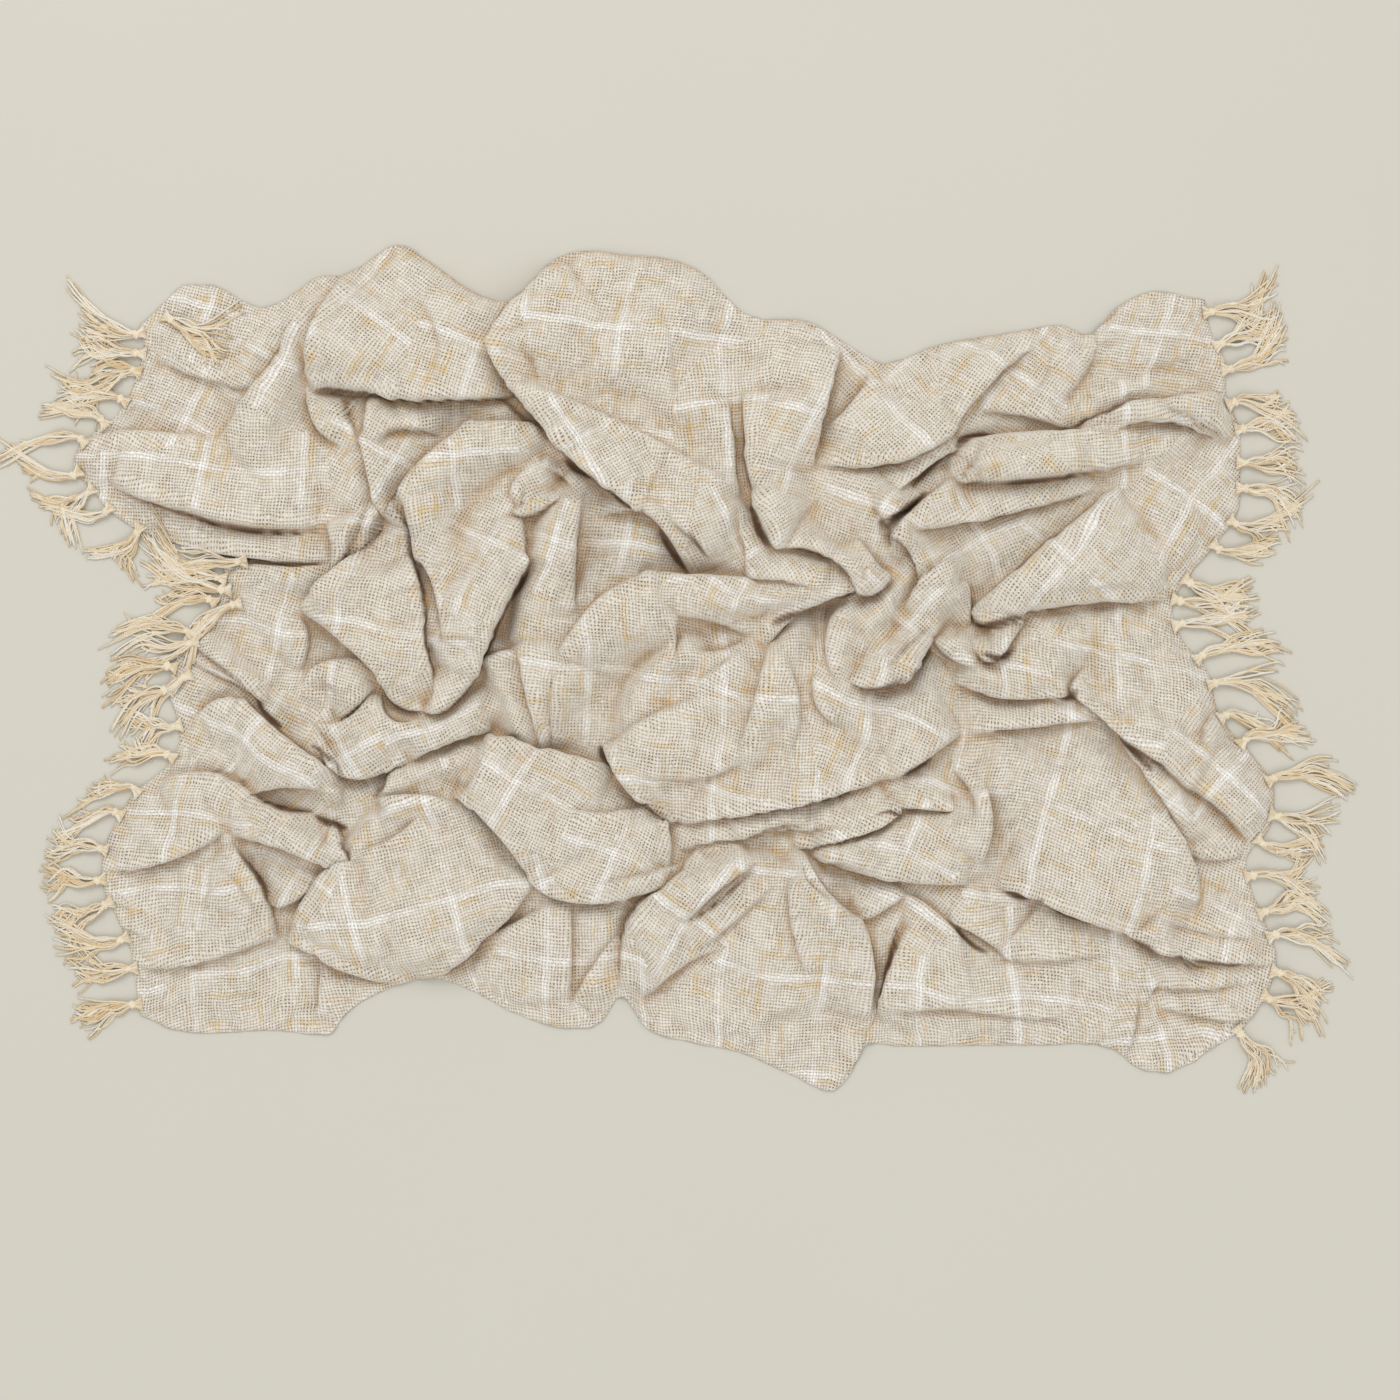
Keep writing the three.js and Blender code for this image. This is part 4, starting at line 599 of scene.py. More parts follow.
def plan_point(across: Array, down: Array) -> tuple[Array, Array]:
    """Plan place of the sheet at shares across (left to right) and down (back to front).

    The straight mix of the four corners, plus each edge's departure from its straight line,
    fading with the fourth power of the distance from that edge.
    """
    (blx, bly), (brx, bry), (flx, fly), (frx, fry) = CORNERS
    left_y, right_y = mix(bly, fly, down), mix(bry, fry, down)
    back_x, front_x = mix(blx, brx, across), mix(flx, frx, across)
    flat_back, flat_front = mix(bly, bry, across), mix(fly, fry, across)
    left = edge_value(swapped(LEFT_EDGE), left_y) - mix(blx, flx, down)
    right = edge_value(swapped(RIGHT_EDGE), right_y) - mix(brx, frx, down)
    back = edge_value(BACK_EDGE, back_x) - flat_back
    front = edge_value(FRONT_EDGE, front_x) - flat_front
    x = mix(back_x, front_x, down) + left * (1 - across) ** EDGE_FADE + right * across**EDGE_FADE
    y = mix(flat_back, flat_front, down) + back * (1 - down) ** EDGE_FADE + front * down**EDGE_FADE
    return x, y


def edge_distance(across: Array, down: Array) -> Array:
    """Rough distance from the nearest edge of the sheet in plan units, at shares across and down."""
    return np.minimum(np.minimum(across, 1 - across) * SPAN_ACROSS, np.minimum(down, 1 - down) * SPAN_DOWN)


def to_part(x: Array, y: Array) -> tuple[Array, Array]:
    """Place in the part's own frame, in millimetres, of a plan place."""
    return (x - PLAN_ORIGIN[0]) * PLAN_UNIT, (PLAN_ORIGIN[1] - y) * PLAN_UNIT


def sample_path(rows: Sequence) -> Array:
    """Path through three stations, each a list of the same values, as a table with a row a sample."""
    share = np.linspace(0, 1, PATH_STEPS + 1)
    return np.stack([through(a, b, c, share) for a, b, c in zip(*rows)], 1)


def nearest_on_path(path: Array, x: Array, y: Array) -> tuple[Array, Array, Array, Array, Array]:
    """Nearest place on a path of straight pieces to each point.

    Args:
        path: samples, with x and y in the first two columns.
        x: plan x of the points.
        y: plan y of the points.

    Returns:
        Distance, side (+1 or -1), place along in samples, and the unit step from the path to the point.
    """
    best = np.full(x.shape, np.inf)
    side, at, ux, uy = (np.zeros(x.shape) for _ in range(4))
    for step in range(len(path) - 1):
        run_x, run_y = path[step + 1, :2] - path[step, :2]
        share = ((x - path[step, 0]) * run_x + (y - path[step, 1]) * run_y) / (run_x**2 + run_y**2 + 1e-9)
        share = np.clip(share, 0, 1)
        off_x, off_y = x - path[step, 0] - share * run_x, y - path[step, 1] - share * run_y
        distance = np.hypot(off_x, off_y)
        near = distance < best
        best = np.where(near, distance, best)
        side = np.where(near, np.sign(run_x * off_y - run_y * off_x), side)
        at = np.where(near, step + share, at)
        ux = np.where(near, off_x / (distance + 1e-6), ux)
        uy = np.where(near, off_y / (distance + 1e-6), uy)
    return best, side, at, ux, uy


def bulge(at: Array) -> Array:
    """Half sine wave over a path: 0 at both ends and 1 in the middle."""
    return np.clip(np.sin(math.pi * at / PATH_STEPS), 0, 1)


def near_box(path: Array, margin: float, x: Array, y: Array) -> Array:
    """Which points lie inside a path's box grown by a margin."""
    low, high = path[:, :2].min(0) - margin, path[:, :2].max(0) + margin
    return (x > low[0]) & (x < high[0]) & (y > low[1]) & (y < high[1])


def value_noise(x: Array, y: Array, pitch: float, seed: int) -> Array:
    """Smooth random heights from -1 to 1: a lattice of seeded values joined by cubic easing."""
    table = np.random.default_rng(seed).uniform(-1, 1, (NOISE_SIZE, NOISE_SIZE))
    gx, gy = x / pitch, y / pitch
    ix, iy = np.floor(gx).astype(int), np.floor(gy).astype(int)
    tx, ty = gx - ix, gy - iy
    tx, ty = tx * tx * (3 - 2 * tx), ty * ty * (3 - 2 * ty)
    left, right = ix % NOISE_SIZE, (ix + 1) % NOISE_SIZE
    back, front = iy % NOISE_SIZE, (iy + 1) % NOISE_SIZE
    at_back = mix(table[left, back], table[right, back], tx)
    at_front = mix(table[left, front], table[right, front], tx)
    return mix(at_back, at_front, ty)


def soften(grid: Array, times: int) -> Array:
    """Grid of heights with each value moved to the mean of its neighbours, a number of times."""
    for _ in range(times):
        padded = np.pad(grid, 1, mode="edge")
        grid = (padded[1:-1, :-2] + padded[1:-1, 2:] + padded[:-2, 1:-1] + padded[2:, 1:-1] + 4 * grid) / 8
    return grid


@dataclass
class Heap:
    """The crumpled shape: heights over the plan, and how far creases lean over their low side.

    Attributes:
        lean: share of a crease's step by which its high side hangs over.
        most_lean: largest share of a crease's half width that this may take.
        tight: share of a crease's half width over which its high side climbs.
        slit_width: half width of the painted shade along a crease's slit, in plan units.
        slit_step: height of a crease, in millimetres, whose slit's painted shade would be fully dark.
        slit_fall: power by which the painted shade in the slits of lower creases is paler.
        gap_depth: how far the dark gaps between overlapping folds are sunk, in millimetres.
        gap_end: share of a gap's depth left at its ends.
        gap_shade: darkness of the painted shade in a gap's middle, where 1 is full and more widens the dark.
        ripple: heights in millimetres of the small uneven waves: wide, narrow, and soft ridges.
        ripple_pitch: their spacing in plan units, and that of the patches where ridges stand.
        ripple_seed: seed of the first of them.
        filling: height of the layers that fill the heap between its folds.
        filling_width: distance from the outline, in plan units, over which that filling rises.
        outline_margin: plan units beyond that width within which the distance is still measured.
        outline_steps: places along each edge from which the outline is drawn.
    """

    lean: float = 0.42
    most_lean: float = 0.24
    tight: float = 0.62
    slit_width: float = 2.2
    slit_step: float = 17.0
    slit_fall: float = 1.4
    gap_depth: float = 3.0
    gap_end: float = 0.4
    gap_shade: float = 1.25
    ripple: tuple[float, float, float] = (1.6, 0.8, 2.4)
    ripple_pitch: tuple[float, float, float, float] = (46, 17, 74, 120)
    ripple_seed: int = 11
    filling: float = 22.0
    filling_width: float = 130.0
    outline_margin: float = 40.0
    outline_steps: int = 160

    def folds(self, x: Array, y: Array, inward: Array) -> Array:
        """Broad heights: soft domes across each fold's line, blended by the cube root of summed cubes.

        The lowest value rises from the outline inwards, as the layers under the folds do.
        """
        rise = np.clip(inward / self.filling_width, 0, 1)
        total = mix(HEAP_FLOOR, self.filling, rise * rise * (3 - 2 * rise)) ** FOLD_BLEND
        for row in FOLDS:
            path = sample_path((row[1:5], row[5:9], row[9:13]))
            box = near_box(path, path[:, 2].max() * FOLD_GROW, x, y)
            distance, _, at, _, _ = nearest_on_path(path, x[box], y[box])
            steps = np.arange(len(path))
            reach = np.interp(at, steps, path[:, 2]) * FOLD_GROW
            dome = np.clip(1 - (distance / reach) ** 2, 0, 1) ** FOLD_FULLNESS
            total[box] += (np.interp(at, steps, path[:, 3]) * dome) ** FOLD_BLEND
        return HEAP_LIMIT * np.tanh(total ** (1 / FOLD_BLEND) / HEAP_LIMIT)

    def creases(self, x: Array, y: Array) -> tuple[Array, Array, Array, Array]:
        """Crease heights, their lean and the painted shade of the dark slit along each.

        On its high side a crease climbs a quarter circle from its line and fades out over its reach;
        on its low side it dips a little. Near the line the high side is moved over the low side.

        Args:
            x: plan x of the places.
            y: plan y of the places.

        Returns:
            Height to add, shift in plan x, shift in plan y, and the painted shade of the slit at each place
            (0 to 1).
        """
        height, shift_x, shift_y, slit = (np.zeros(x.shape) for _ in range(4))
        for _, ax, ay, bx, by, cx, cy, step, half, high in CREASES + WRINKLES:
            path = sample_path(((ax, ay), (bx, by), (cx, cy)))
            box = near_box(path, half * CREASE_FADED * CREASE_REACH, x, y)
            distance, side, at, ux, uy = nearest_on_path(path, x[box], y[box])
            hx, hy = COMPASS[high]
            on_high = side == np.sign((cx - ax) * hy - (cy - ay) * hx)
            strength = CREASE_GAIN * step * bulge(at) ** CREASE_TAPER
            climb = np.sqrt(1 - (1 - np.minimum(distance / (half * self.tight), 1)) ** 2)
            fade = np.exp(-((np.maximum(distance - half, 0) / (half * CREASE_REACH)) ** 2))
            up = (climb * (1 + CREASE_DIP) - CREASE_DIP) * fade
            down = -CREASE_DIP * np.exp(-((distance / (half * self.tight * CREASE_LOW_WIDTH)) ** 2))
            height[box] += strength * np.where(on_high, up, down)
            q = np.clip(distance / half, 0, 1)
            push = np.minimum(self.lean * strength, self.most_lean * half) * 4 * q * (1 - q) * on_high
            shift_x[box] -= push * ux
            shift_y[box] -= push * uy
            # Painted shade along the slit, darker for higher steps.
            dark = np.clip(strength / self.slit_step, 0, 0.9) ** self.slit_fall
            slit[box] = np.maximum(slit[box], dark * np.exp(-((distance / self.slit_width) ** 2)))
        return height, shift_x, shift_y, slit

    def gaps(self, x: Array, y: Array) -> tuple[Array, Array]:
        """Gaps between overlapping folds: how deep each place is sunk, and how dark its painted shade is."""
        depth, dark = np.zeros(x.shape), np.zeros(x.shape)
        for _, ax, ay, bx, by, cx, cy, half in SLITS:
            path = sample_path(((ax, ay), (bx, by), (cx, cy)))
            box = near_box(path, half * 3, x, y)
            distance, _, at, _, _ = nearest_on_path(path, x[box], y[box])
            taper = bulge(at) ** 0.5
            width = half * (0.3 + 0.5 * taper)
            gap = np.exp(-((distance / width) ** 2)) * (self.gap_end + (1 - self.gap_end) * taper)
            # Painted shade in the gap.
            dark[box] = np.maximum(dark[box], gap * self.gap_shade)
            depth[box] += self.gap_depth * gap
        return depth, dark

    def ripples(self, x: Array, y: Array) -> Array:
        """Heights in millimetres of the small uneven waves: wide, narrow, and soft ridges here and there."""
        wide, narrow, ridged = self.ripple
        seeds = range(self.ripple_seed, self.ripple_seed + len(self.ripple_pitch))
        noises = [value_noise(x, y, pitch, seed) for pitch, seed in zip(self.ripple_pitch, seeds)]
        wave = wide * noises[0] + narrow * noises[1]
        ridge = (1 - np.abs(noises[2])) ** 5
        return wave + ridged * ridge * (0.5 + noises[3])

    def inward(self, x: Array, y: Array, across: Array, down: Array) -> Array:
        """Distance from the outline in plan units, up to a little over the filling's width."""
        edge = np.linspace(0, 1, self.outline_steps)
        one, zero = np.ones_like(edge), np.zeros_like(edge)
        sides = ((edge, zero), (one, edge), (edge[::-1], one), (zero, edge[::-1]))
        outline = np.concatenate([np.stack(plan_point(*side), 1) for side in sides])
        outline = outline[np.concatenate([[True], np.hypot(*np.diff(outline, axis=0).T) > 1e-3])]
        far = self.filling_width + self.outline_margin
        close = edge_distance(across, down) < far
        distance = np.full(x.shape, far)
        distance[close] = nearest_on_path(outline[::3], x[close], y[close])[0]
        return distance

    def surface(self, across: Array, down: Array) -> tuple[Array, Array, Array]:
        """Points of the upper face of the sheet.

        Args:
            across: shares from the left to the right end.
            down: shares from the back to the front edge.

        Returns:
            Points (..., 3) in metres in the part's frame, the plan places (..., 2), and the share of painted
            shade in the slits and gaps.
        """
        x, y = plan_point(across, down)
        creased, shift_x, shift_y, slit = self.creases(x, y)
        depth, dark = self.gaps(x, y)
        inward = self.inward(x, y, across, down)
        rim = np.sqrt(1 - (1 - np.clip(inward / RIM_WIDTH, 0, 1)) ** 2)
        broad = np.clip(self.folds(x, y, inward) + (creased - depth), 0, None)
        height = (broad + self.ripples(x, y)) * rim
        settled = FLOOR_EASE * np.log1p(np.exp((height - FLOOR_SINK) / FLOOR_EASE))
        z = settled + THICKNESS * np.clip(rim * 2, 0.15, 1)
        px, py = to_part(x + shift_x * rim, y + shift_y * rim)
        return np.stack([px, py, z], -1) * MM, np.stack([x, y], -1), np.maximum(slit, dark) * rim


def make_mesh(name: str, points: Array, faces: Array) -> bpy.types.Object:
    """Object from whole arrays of points (n, 3) and faces (m, k), smooth shaded."""
    mesh = bpy.data.meshes.new(name)
    size = faces.shape[1]
    mesh.vertices.add(len(points))
    mesh.vertices.foreach_set("co", points.astype(np.float32).ravel())
    mesh.loops.add(faces.size)
    mesh.loops.foreach_set("vertex_index", faces.astype(np.int32).ravel())
    mesh.polygons.add(len(faces))
    mesh.polygons.foreach_set("loop_start", np.arange(0, faces.size, size, dtype=np.int32))
    mesh.polygons.foreach_set("use_smooth", np.ones(len(faces), bool))
    mesh.update(calc_edges=True)
    mesh.validate()
    made = bpy.data.objects.new(name, mesh)
    bpy.context.scene.collection.objects.link(made)
    return made


def grid_faces(rows: int, columns: int, closed: bool = False) -> Array:
    """Four-sided faces over a grid of points, row by row, wrapped round its columns if closed."""
    faces_across = columns if closed else columns - 1
    row, column = np.meshgrid(np.arange(rows - 1), np.arange(faces_across), indexing="ij")
    beside = (column + 1) % columns
    here, right = row * columns + column, row * columns + beside
    return np.stack([here, here + columns, right + columns, right], -1).reshape(-1, 4)


def cap_faces(sides: int) -> Array:
    """Four-sided faces that close a ring of an even number of points, in the ring's own order."""
    first = np.arange(1, sides - 2, 2)
    return np.stack([np.zeros_like(first), first, first + 1, first + 2], -1)


def closed_faces(rings: int, sides: int) -> Array:
    """Faces of a closed tube of rings whose points run clockwise, seen along the tube."""
    start = cap_faces(sides)
    end = start[:, ::-1] + (rings - 1) * sides
    return np.concatenate([grid_faces(rings, sides, closed=True), start, end])


def set_attribute(made: bpy.types.Object, name: str, values: Array) -> None:
    """Number for each vertex, under a name that a material reads."""
    layer = made.data.attributes.new(name, "FLOAT", "POINT")
    layer.data.foreach_set("value", values.astype(np.float32).ravel())


Number = Union[float, "Wire"]


class Wire:
    """A socket's value in an expression, where + - * / and the methods add nodes."""

    def __init__(self, net: "Net", socket: bpy.types.NodeSocket) -> None:
        """Keeps the net and the socket."""
        self.net, self.socket = net, socket

    def _math(self, operation: str, first: Number, second: Number = 0.0) -> "Wire":
        """Math node over one or two values."""
        return self.net.node("Math", {"operation": operation}, {0: first, 1: second})

    def __add__(self, other: Number) -> "Wire":
        """Sum."""
        return self._math("ADD", self, other)

    def __sub__(self, other: Number) -> "Wire":
        """Difference."""
        return self._math("SUBTRACT", self, other)

    def __rsub__(self, other: Number) -> "Wire":
        """Difference from a number."""
        return self._math("SUBTRACT", other, self)

    def __mul__(self, other: Number) -> "Wire":
        """Product."""
        return self._math("MULTIPLY", self, other)

    def __truediv__(self, other: Number) -> "Wire":
        """Quotient."""
        return self._math("DIVIDE", self, other)

    __radd__ = __add__
    __rmul__ = __mul__

    def sin(self) -> "Wire":
        """Sine."""
        return self._math("SINE", self)

    def abs(self) -> "Wire":
        """Size without sign."""
        return self._math("ABSOLUTE", self)

    def floor(self) -> "Wire":
        """Whole part."""
        return self._math("FLOOR", self)

    def fract(self) -> "Wire":
        """Part after the whole."""
        return self._math("FRACT", self)

    def most(self, other: Number) -> "Wire":
        """Larger of two values."""
        return self._math("MAXIMUM", self, other)

    def ramp(self, low: float, high: float) -> "Wire":
        """Smooth rise from 0 at low to 1 at high."""
        return self.net.node("MapRange", {"interpolation_type": "SMOOTHSTEP"},
                             {"Value": self, "From Min": low, "From Max": high})


class Net:
    """A material's nodes."""

    def __init__(self, name: str) -> None:
        """Makes the material with its output alone."""
        self.material = bpy.data.materials.new(name)
        self.material.use_nodes = True
        self.tree = self.material.node_tree
        self.tree.nodes.clear()

    def node(self, kind: str, settings: dict[str, Any], values: dict[Any, Any], output: Any = 0) -> Wire:
        """Adds one node.

        Args:
            kind: node type without the ShaderNode prefix.
            settings: the node's own settings, set first.
            values: value or wire for each input, by name or index.
            output: name or index of the output to return.

        Returns:
            The output as a wire.
        """
        made = self.tree.nodes.new("ShaderNode" + kind)
        for key, value in settings.items():
            setattr(made, key, value)
        for key, value in values.items():
            if isinstance(value, Wire):
                self.tree.links.new(value.socket, made.inputs[key])
            else:
                made.inputs[key].default_value = value
        return Wire(self, made.outputs[output])

    def blend(self, share: Number, first: Any, second: Any) -> Wire:
        """Colour mix by a share: input 6 is the first colour and 7 the second."""
        return self.node("Mix", {"data_type": "RGBA"}, {0: share, 6: first, 7: second}, 2)

    def times(self, first: Any, second: Any) -> Wire:
        """Product of two colours."""
        settings = {"data_type": "RGBA", "blend_type": "MULTIPLY"}
        return self.node("Mix", settings, {0: 1.0, 6: first, 7: second}, 2)

    def noise(self, where: Wire, scale: float, detail: float = 2.0) -> Wire:
        """Noise from 0 to 1 at a place."""
        return self.node("TexNoise", {}, {"Vector": where, "Scale": scale, "Detail": detail}, "Fac")

    def place(self, x: Number, y: Number, z: Number = 0.0) -> Wire:
        """Vector from three numbers."""
        return self.node("CombineXYZ", {}, {0: x, 1: y, 2: z})

    def part(self, vector: Wire, axis: str) -> Wire:
        """One of a vector's three numbers, by the name X, Y or Z."""
        return self.node("SeparateXYZ", {}, {"Vector": vector}, axis)

    def attribute(self, name: str) -> Wire:
        """Number that the mesh keeps for each vertex."""
        return self.node("Attribute", {"attribute_name": name}, {}, "Fac")

    def uv(self, name: str) -> Wire:
        """Place on one of the mesh's UV maps."""
        return self.node("UVMap", {"uv_map": name}, {})

    def spot(self) -> Wire:
        """Place on the object, in metres."""
        return self.node("TexCoord", {}, {}, "Object")

    def finish(self, color: Any, roughness: float, height: Optional[Wire], distance: float,
               sheen: float) -> None:
        """Joins a Principled surface to the output.

        Args:
            color: base colour.
            roughness: roughness, the same all over.
            height: height for the bump, or None for a smooth surface.
            distance: metres that the bump rises for a height of 1.
            sheen: weight of the sheen.
        """
        values = {"Base Color": color, "Roughness": roughness, "Specular IOR Level": 0.15,
                  "Sheen Weight": sheen, "Sheen Roughness": 0.6}
        if height is not None:
            bump = {"Strength": 1.0, "Distance": distance, "Height": height}
            values["Normal"] = self.node("Bump", {}, bump)
        shader = self.node("BsdfPrincipled", {}, values)
        out = self.tree.nodes.new("ShaderNodeOutputMaterial")
        self.tree.links.new(shader.socket, out.inputs["Surface"])


def linear(part: float) -> float:
    """Linear light of one display value from 0 to 255."""
    share = part / 255
    return share / 12.92 if share <= 0.04045 else ((share + 0.055) / 1.055) ** 2.4


def colour(red: float, green: float, blue: float) -> tuple[float, float, float, float]:
    """Display colour from 0 to 255 as the linear colour a shader takes."""
    return linear(red), linear(green), linear(blue), 1.0


@dataclass(frozen=True)
class ClothFinish:
    """Open plain weave of slub yarn with a wide check of thick pale yarn and short mustard slubs.

    Attributes:
        pitch: spacing of the yarns, in millimetres.
        wander: how far a yarn strays sideways, in millimetres.
        edge: softness of a yarn's edge, as a share of half the pitch.
        check: spacing of the check, in millimetres.
        runs: rows of mustard runs in each square of the check.
        beige: colour of the plain cloth.
        cream: colour of its lighter yarns.
        gap: painted shade seen through the gaps of the weave, for the shaded layer beneath.
        pale: colour of the check's thick yarns.
        mustard: colour of the mustard runs.
        hollow: painted shade, the colour that hollows are multiplied by.
        dark: painted shade, the colour that the gaps between folds are multiplied by.
        deep: painted shade, the colour that those gaps are mixed with.
        light_share: how far a light yarn goes from the plain colour to cream.
        own_shares: strength of pale and of mustard on the yarns that carry them.
        other_shares: the same on the yarns that cross those.
        hollow_shade_share: strength of the painted shade in hollows.
        deep_shade_share: strength of the deepest painted shade.
        bump: height of the yarns in the bump, in metres.
    """

    pitch: float = 3.3
    wander: float = 5.0
    edge: float = 0.36
    check: float = 105.0
    runs: float = 7.0
    beige: tuple = colour(215, 204, 185)
    cream: tuple = colour(236, 230, 217)
    gap: tuple = colour(120, 98, 74)
    pale: tuple = colour(251, 249, 244)
    mustard: tuple = colour(222, 194, 142)
    hollow: tuple = colour(222, 188, 146)
    dark: tuple = colour(142, 118, 94)
    deep: tuple = colour(104, 82, 62)
    light_share: float = 0.75
    own_shares: tuple[float, float] = (0.78, 0.2)
    other_shares: tuple[float, float] = (0.3, 0.75)
    hollow_shade_share: float = 0.65
    deep_shade_share: float = 0.4
    bump: float = 0.0009

    def _lane(self, net: Net, along: Wire, over: Wire, seed: float) -> tuple[Wire, Wire, Wire]:
        """One set of yarns.

        Noise drawn out along the yarns moves them a little sideways and makes each one thick and thin.

        Args:
            net: the material's nodes.
            along: millimetres along the yarns.
            over: millimetres across them.
            seed: place of this set in the noise.

        Returns:
            Number of the yarn, how far a point is inside it (0 to 1), and the yarn's own lightness there.
        """
        stray = net.noise(net.place(along * 0.05, over * 0.06, seed), 1.0, 2.0) * self.wander
        lane = (over + stray) / self.pitch
        number = lane.floor()
        slub = net.noise(net.place(along * 0.06, number * 3.7, seed + 5.0), 1.0, 2.0)
        away = (lane.fract() * 2.0 - 1.0).abs()
        inside = 1.0 - (away - slub).ramp(0.0, self.edge)
        tone = net.noise(net.place(along * 0.11, number * 5.3, seed + 11.0), 1.0, 1.0)
        return number, inside, tone.ramp(0.36, 0.66)

    def _lines(self, net: Net, along: Wire, over: Wire, seed: float) -> tuple[Wire, Wire]:
        """Masks of the pale check lines and of the mustard runs among the yarns lying one way.

        Args:
            net: the material's nodes.
            along: millimetres along the yarns.
            over: millimetres across them.
            seed: place of this set in the noise.

        Returns:
            How far a point is in a check line, and how far it is in a mustard run, both from 0 to 1.
        """
        drift = net.noise(net.place(along * 0.02, seed), 1.0, 1.0) * 5.0 - 2.5
        phase = ((over + drift) / self.check + 0.5).fract()
        away = (phase - 0.5).abs() * self.check
        broken = net.noise(net.place(along * 0.03, over * 0.05, seed + 2.0), 1.0, 3.0)
        pale = (1.0 - (away + (0.5 - broken) * 5.0).ramp(2.0, 4.8)) * broken.ramp(0.30, 0.58)
        band = (over + drift) / (self.check / self.runs)
        spot = net.noise(net.place(along * 0.02, band.floor() * 7.3, seed + 9.0), 1.0, 1.0)
        lane = (band.fract() - 0.5).abs() * (self.check / self.runs)
        return pale, (1.0 - lane.ramp(1.4, 4.6)) * spot.ramp(0.50, 0.70)

    def _tinted(self, net: Net, ground: Wire, tone: Wire, own: tuple, other: tuple) -> Wire:
        """Colour of one set of yarns.

        Args:
            net: the material's nodes.
            ground: colour of the cloth there.
            tone: lightness of the yarns.
            own: masks of the check and of the mustard runs among these yarns.
            other: the same masks among the yarns that cross them.
        """
        pale, mustard = (own[at] * self.own_shares[at] + other[at] * self.other_shares[at] for at in (0, 1))
        tint = net.blend(tone * self.light_share, ground, self.cream)
        return net.blend(pale, net.blend(mustard, tint, self.mustard), self.pale)

    def _hooped(self, net: Net, along: Wire, ground: Wire, face: Wire) -> Wire:
        """Lays level yarns over steep faces, where the weave seen from above is stretched."""
        rise = net.part(net.spot(), "Z") * 1000.0
        _, hoop, tone = self._lane(net, along, rise, 71.0)
        share = hoop * net.attribute("steep").ramp(0.25, 0.5) * (1.0 - net.attribute("slit").ramp(0.0, 0.3))
        return net.blend(share, face, net.blend(tone * self.light_share, ground, self.cream))

    def _shaded(self, net: Net, u: Wire, v: Wire, face: Wire) -> Wire:
        """Paints shade into the colour: a warm shade in hollows, and a dark shade in the gaps between folds.
        """
        low = net.attribute("hollow") * self.hollow_shade_share
        face = net.blend(low, face, net.times(face, self.hollow))
        uneven = net.noise(net.place(u * 0.03, v * 0.03, 60.0), 1.0, 2.0)
        # Painted shade in the slits and gaps between folds, uneven along them.
        share = (net.attribute("slit") * (0.5 + uneven)).ramp(0.12, 0.9)
        face = net.blend(share, face, net.times(face, self.dark))
        return net.blend(share * self.deep_shade_share, face, self.deep)

    def material(self) -> bpy.types.Material:
        """Cloth material on the sheet's own UV map, in metres of cloth."""
        net = Net("open weave cloth")
        place = net.uv("cloth")
        u, v = net.part(place, "X") * 1000.0, net.part(place, "Y") * 1000.0
        warp_number, warp, warp_tone = self._lane(net, v, u, 3.0)
        weft_number, weft, weft_tone = self._lane(net, u, v, 21.0)
        top = ((warp_number + weft_number) * 0.5).fract() * 2.0
        warp_lines, weft_lines = self._lines(net, v, u, 31.0), self._lines(net, u, v, 47.0)
        cloud = net.noise(net.place(u * 0.045, v * 0.045, 4.0), 1.0, 3.0)
        ground = net.blend(cloud.ramp(0.34, 0.66) * 0.45, self.beige, self.cream)
        # Painted shade in the holes of the weave, where the layer beneath is seen in shade.
        under = net.blend((1.0 - cloud.ramp(0.38, 0.66)) * 0.65 + 0.3, ground, self.gap)
        under = net.blend(warp_lines[0].most(weft_lines[0]) * 0.45, under, self.pale)
        warp_tint = self._tinted(net, ground, warp_tone, warp_lines, weft_lines)
        weft_tint = self._tinted(net, ground, weft_tone, weft_lines, warp_lines)
        face = net.blend(warp, under, warp_tint)
        face = net.blend(weft * (1.0 - top * warp), face, weft_tint)
        face = self._shaded(net, u, v, self._hooped(net, u + v, ground, face))
        round_warp, round_weft = warp * (0.55 + top * 0.45), weft * (1.0 - top * 0.45)
        hole = (1.0 - warp) * (1.0 - weft)
        height = round_warp.most(round_weft) + (warp_lines[0] + weft_lines[0]) * 0.35 - hole * 0.3
        net.finish(face, 0.95, height, self.bump, 0.2)
        return net.material


@dataclass(frozen=True)
class YarnFinish:
    """Loose fringe yarn: cream, with some yarns white or mustard, and a twisted ply.

    Attributes:
        cream: colour of most yarns.
        white: colour of the palest yarns.
        mustard: colour of the warmest yarns.
        fluff: colour of the loose fibres on them.
    """

    cream: tuple = colour(244, 230, 202)
    white: tuple = colour(248, 242, 228)
    mustard: tuple = colour(230, 202, 154)
    fluff: tuple = colour(226, 204, 168)

    def material(self) -> bpy.types.Material:
        """Yarn material: the colour comes from each yarn's own tone, the ply from its UV map."""
        net = Net("fringe yarn")
        tone = net.attribute("tone")
        fuzz = net.noise(net.spot(), 900.0, 3.0)
        base = net.blend(tone.ramp(0.45, 1.0), self.cream, self.mustard)
        base = net.blend(1.0 - tone.ramp(0.16, 0.30), base, self.white)
        base = net.blend(fuzz.ramp(0.40, 0.80) * 0.2, base, self.fluff)
        place = net.uv("yarn")
        turn, length = net.part(place, "X"), net.part(place, "Y")
        ply = ((turn * 2.0 + length * 420.0) * (2 * math.pi)).sin()
        net.finish(base, 0.9, ply * 0.5 + fuzz * 0.6, 0.0004, 0.3)
        return net.material


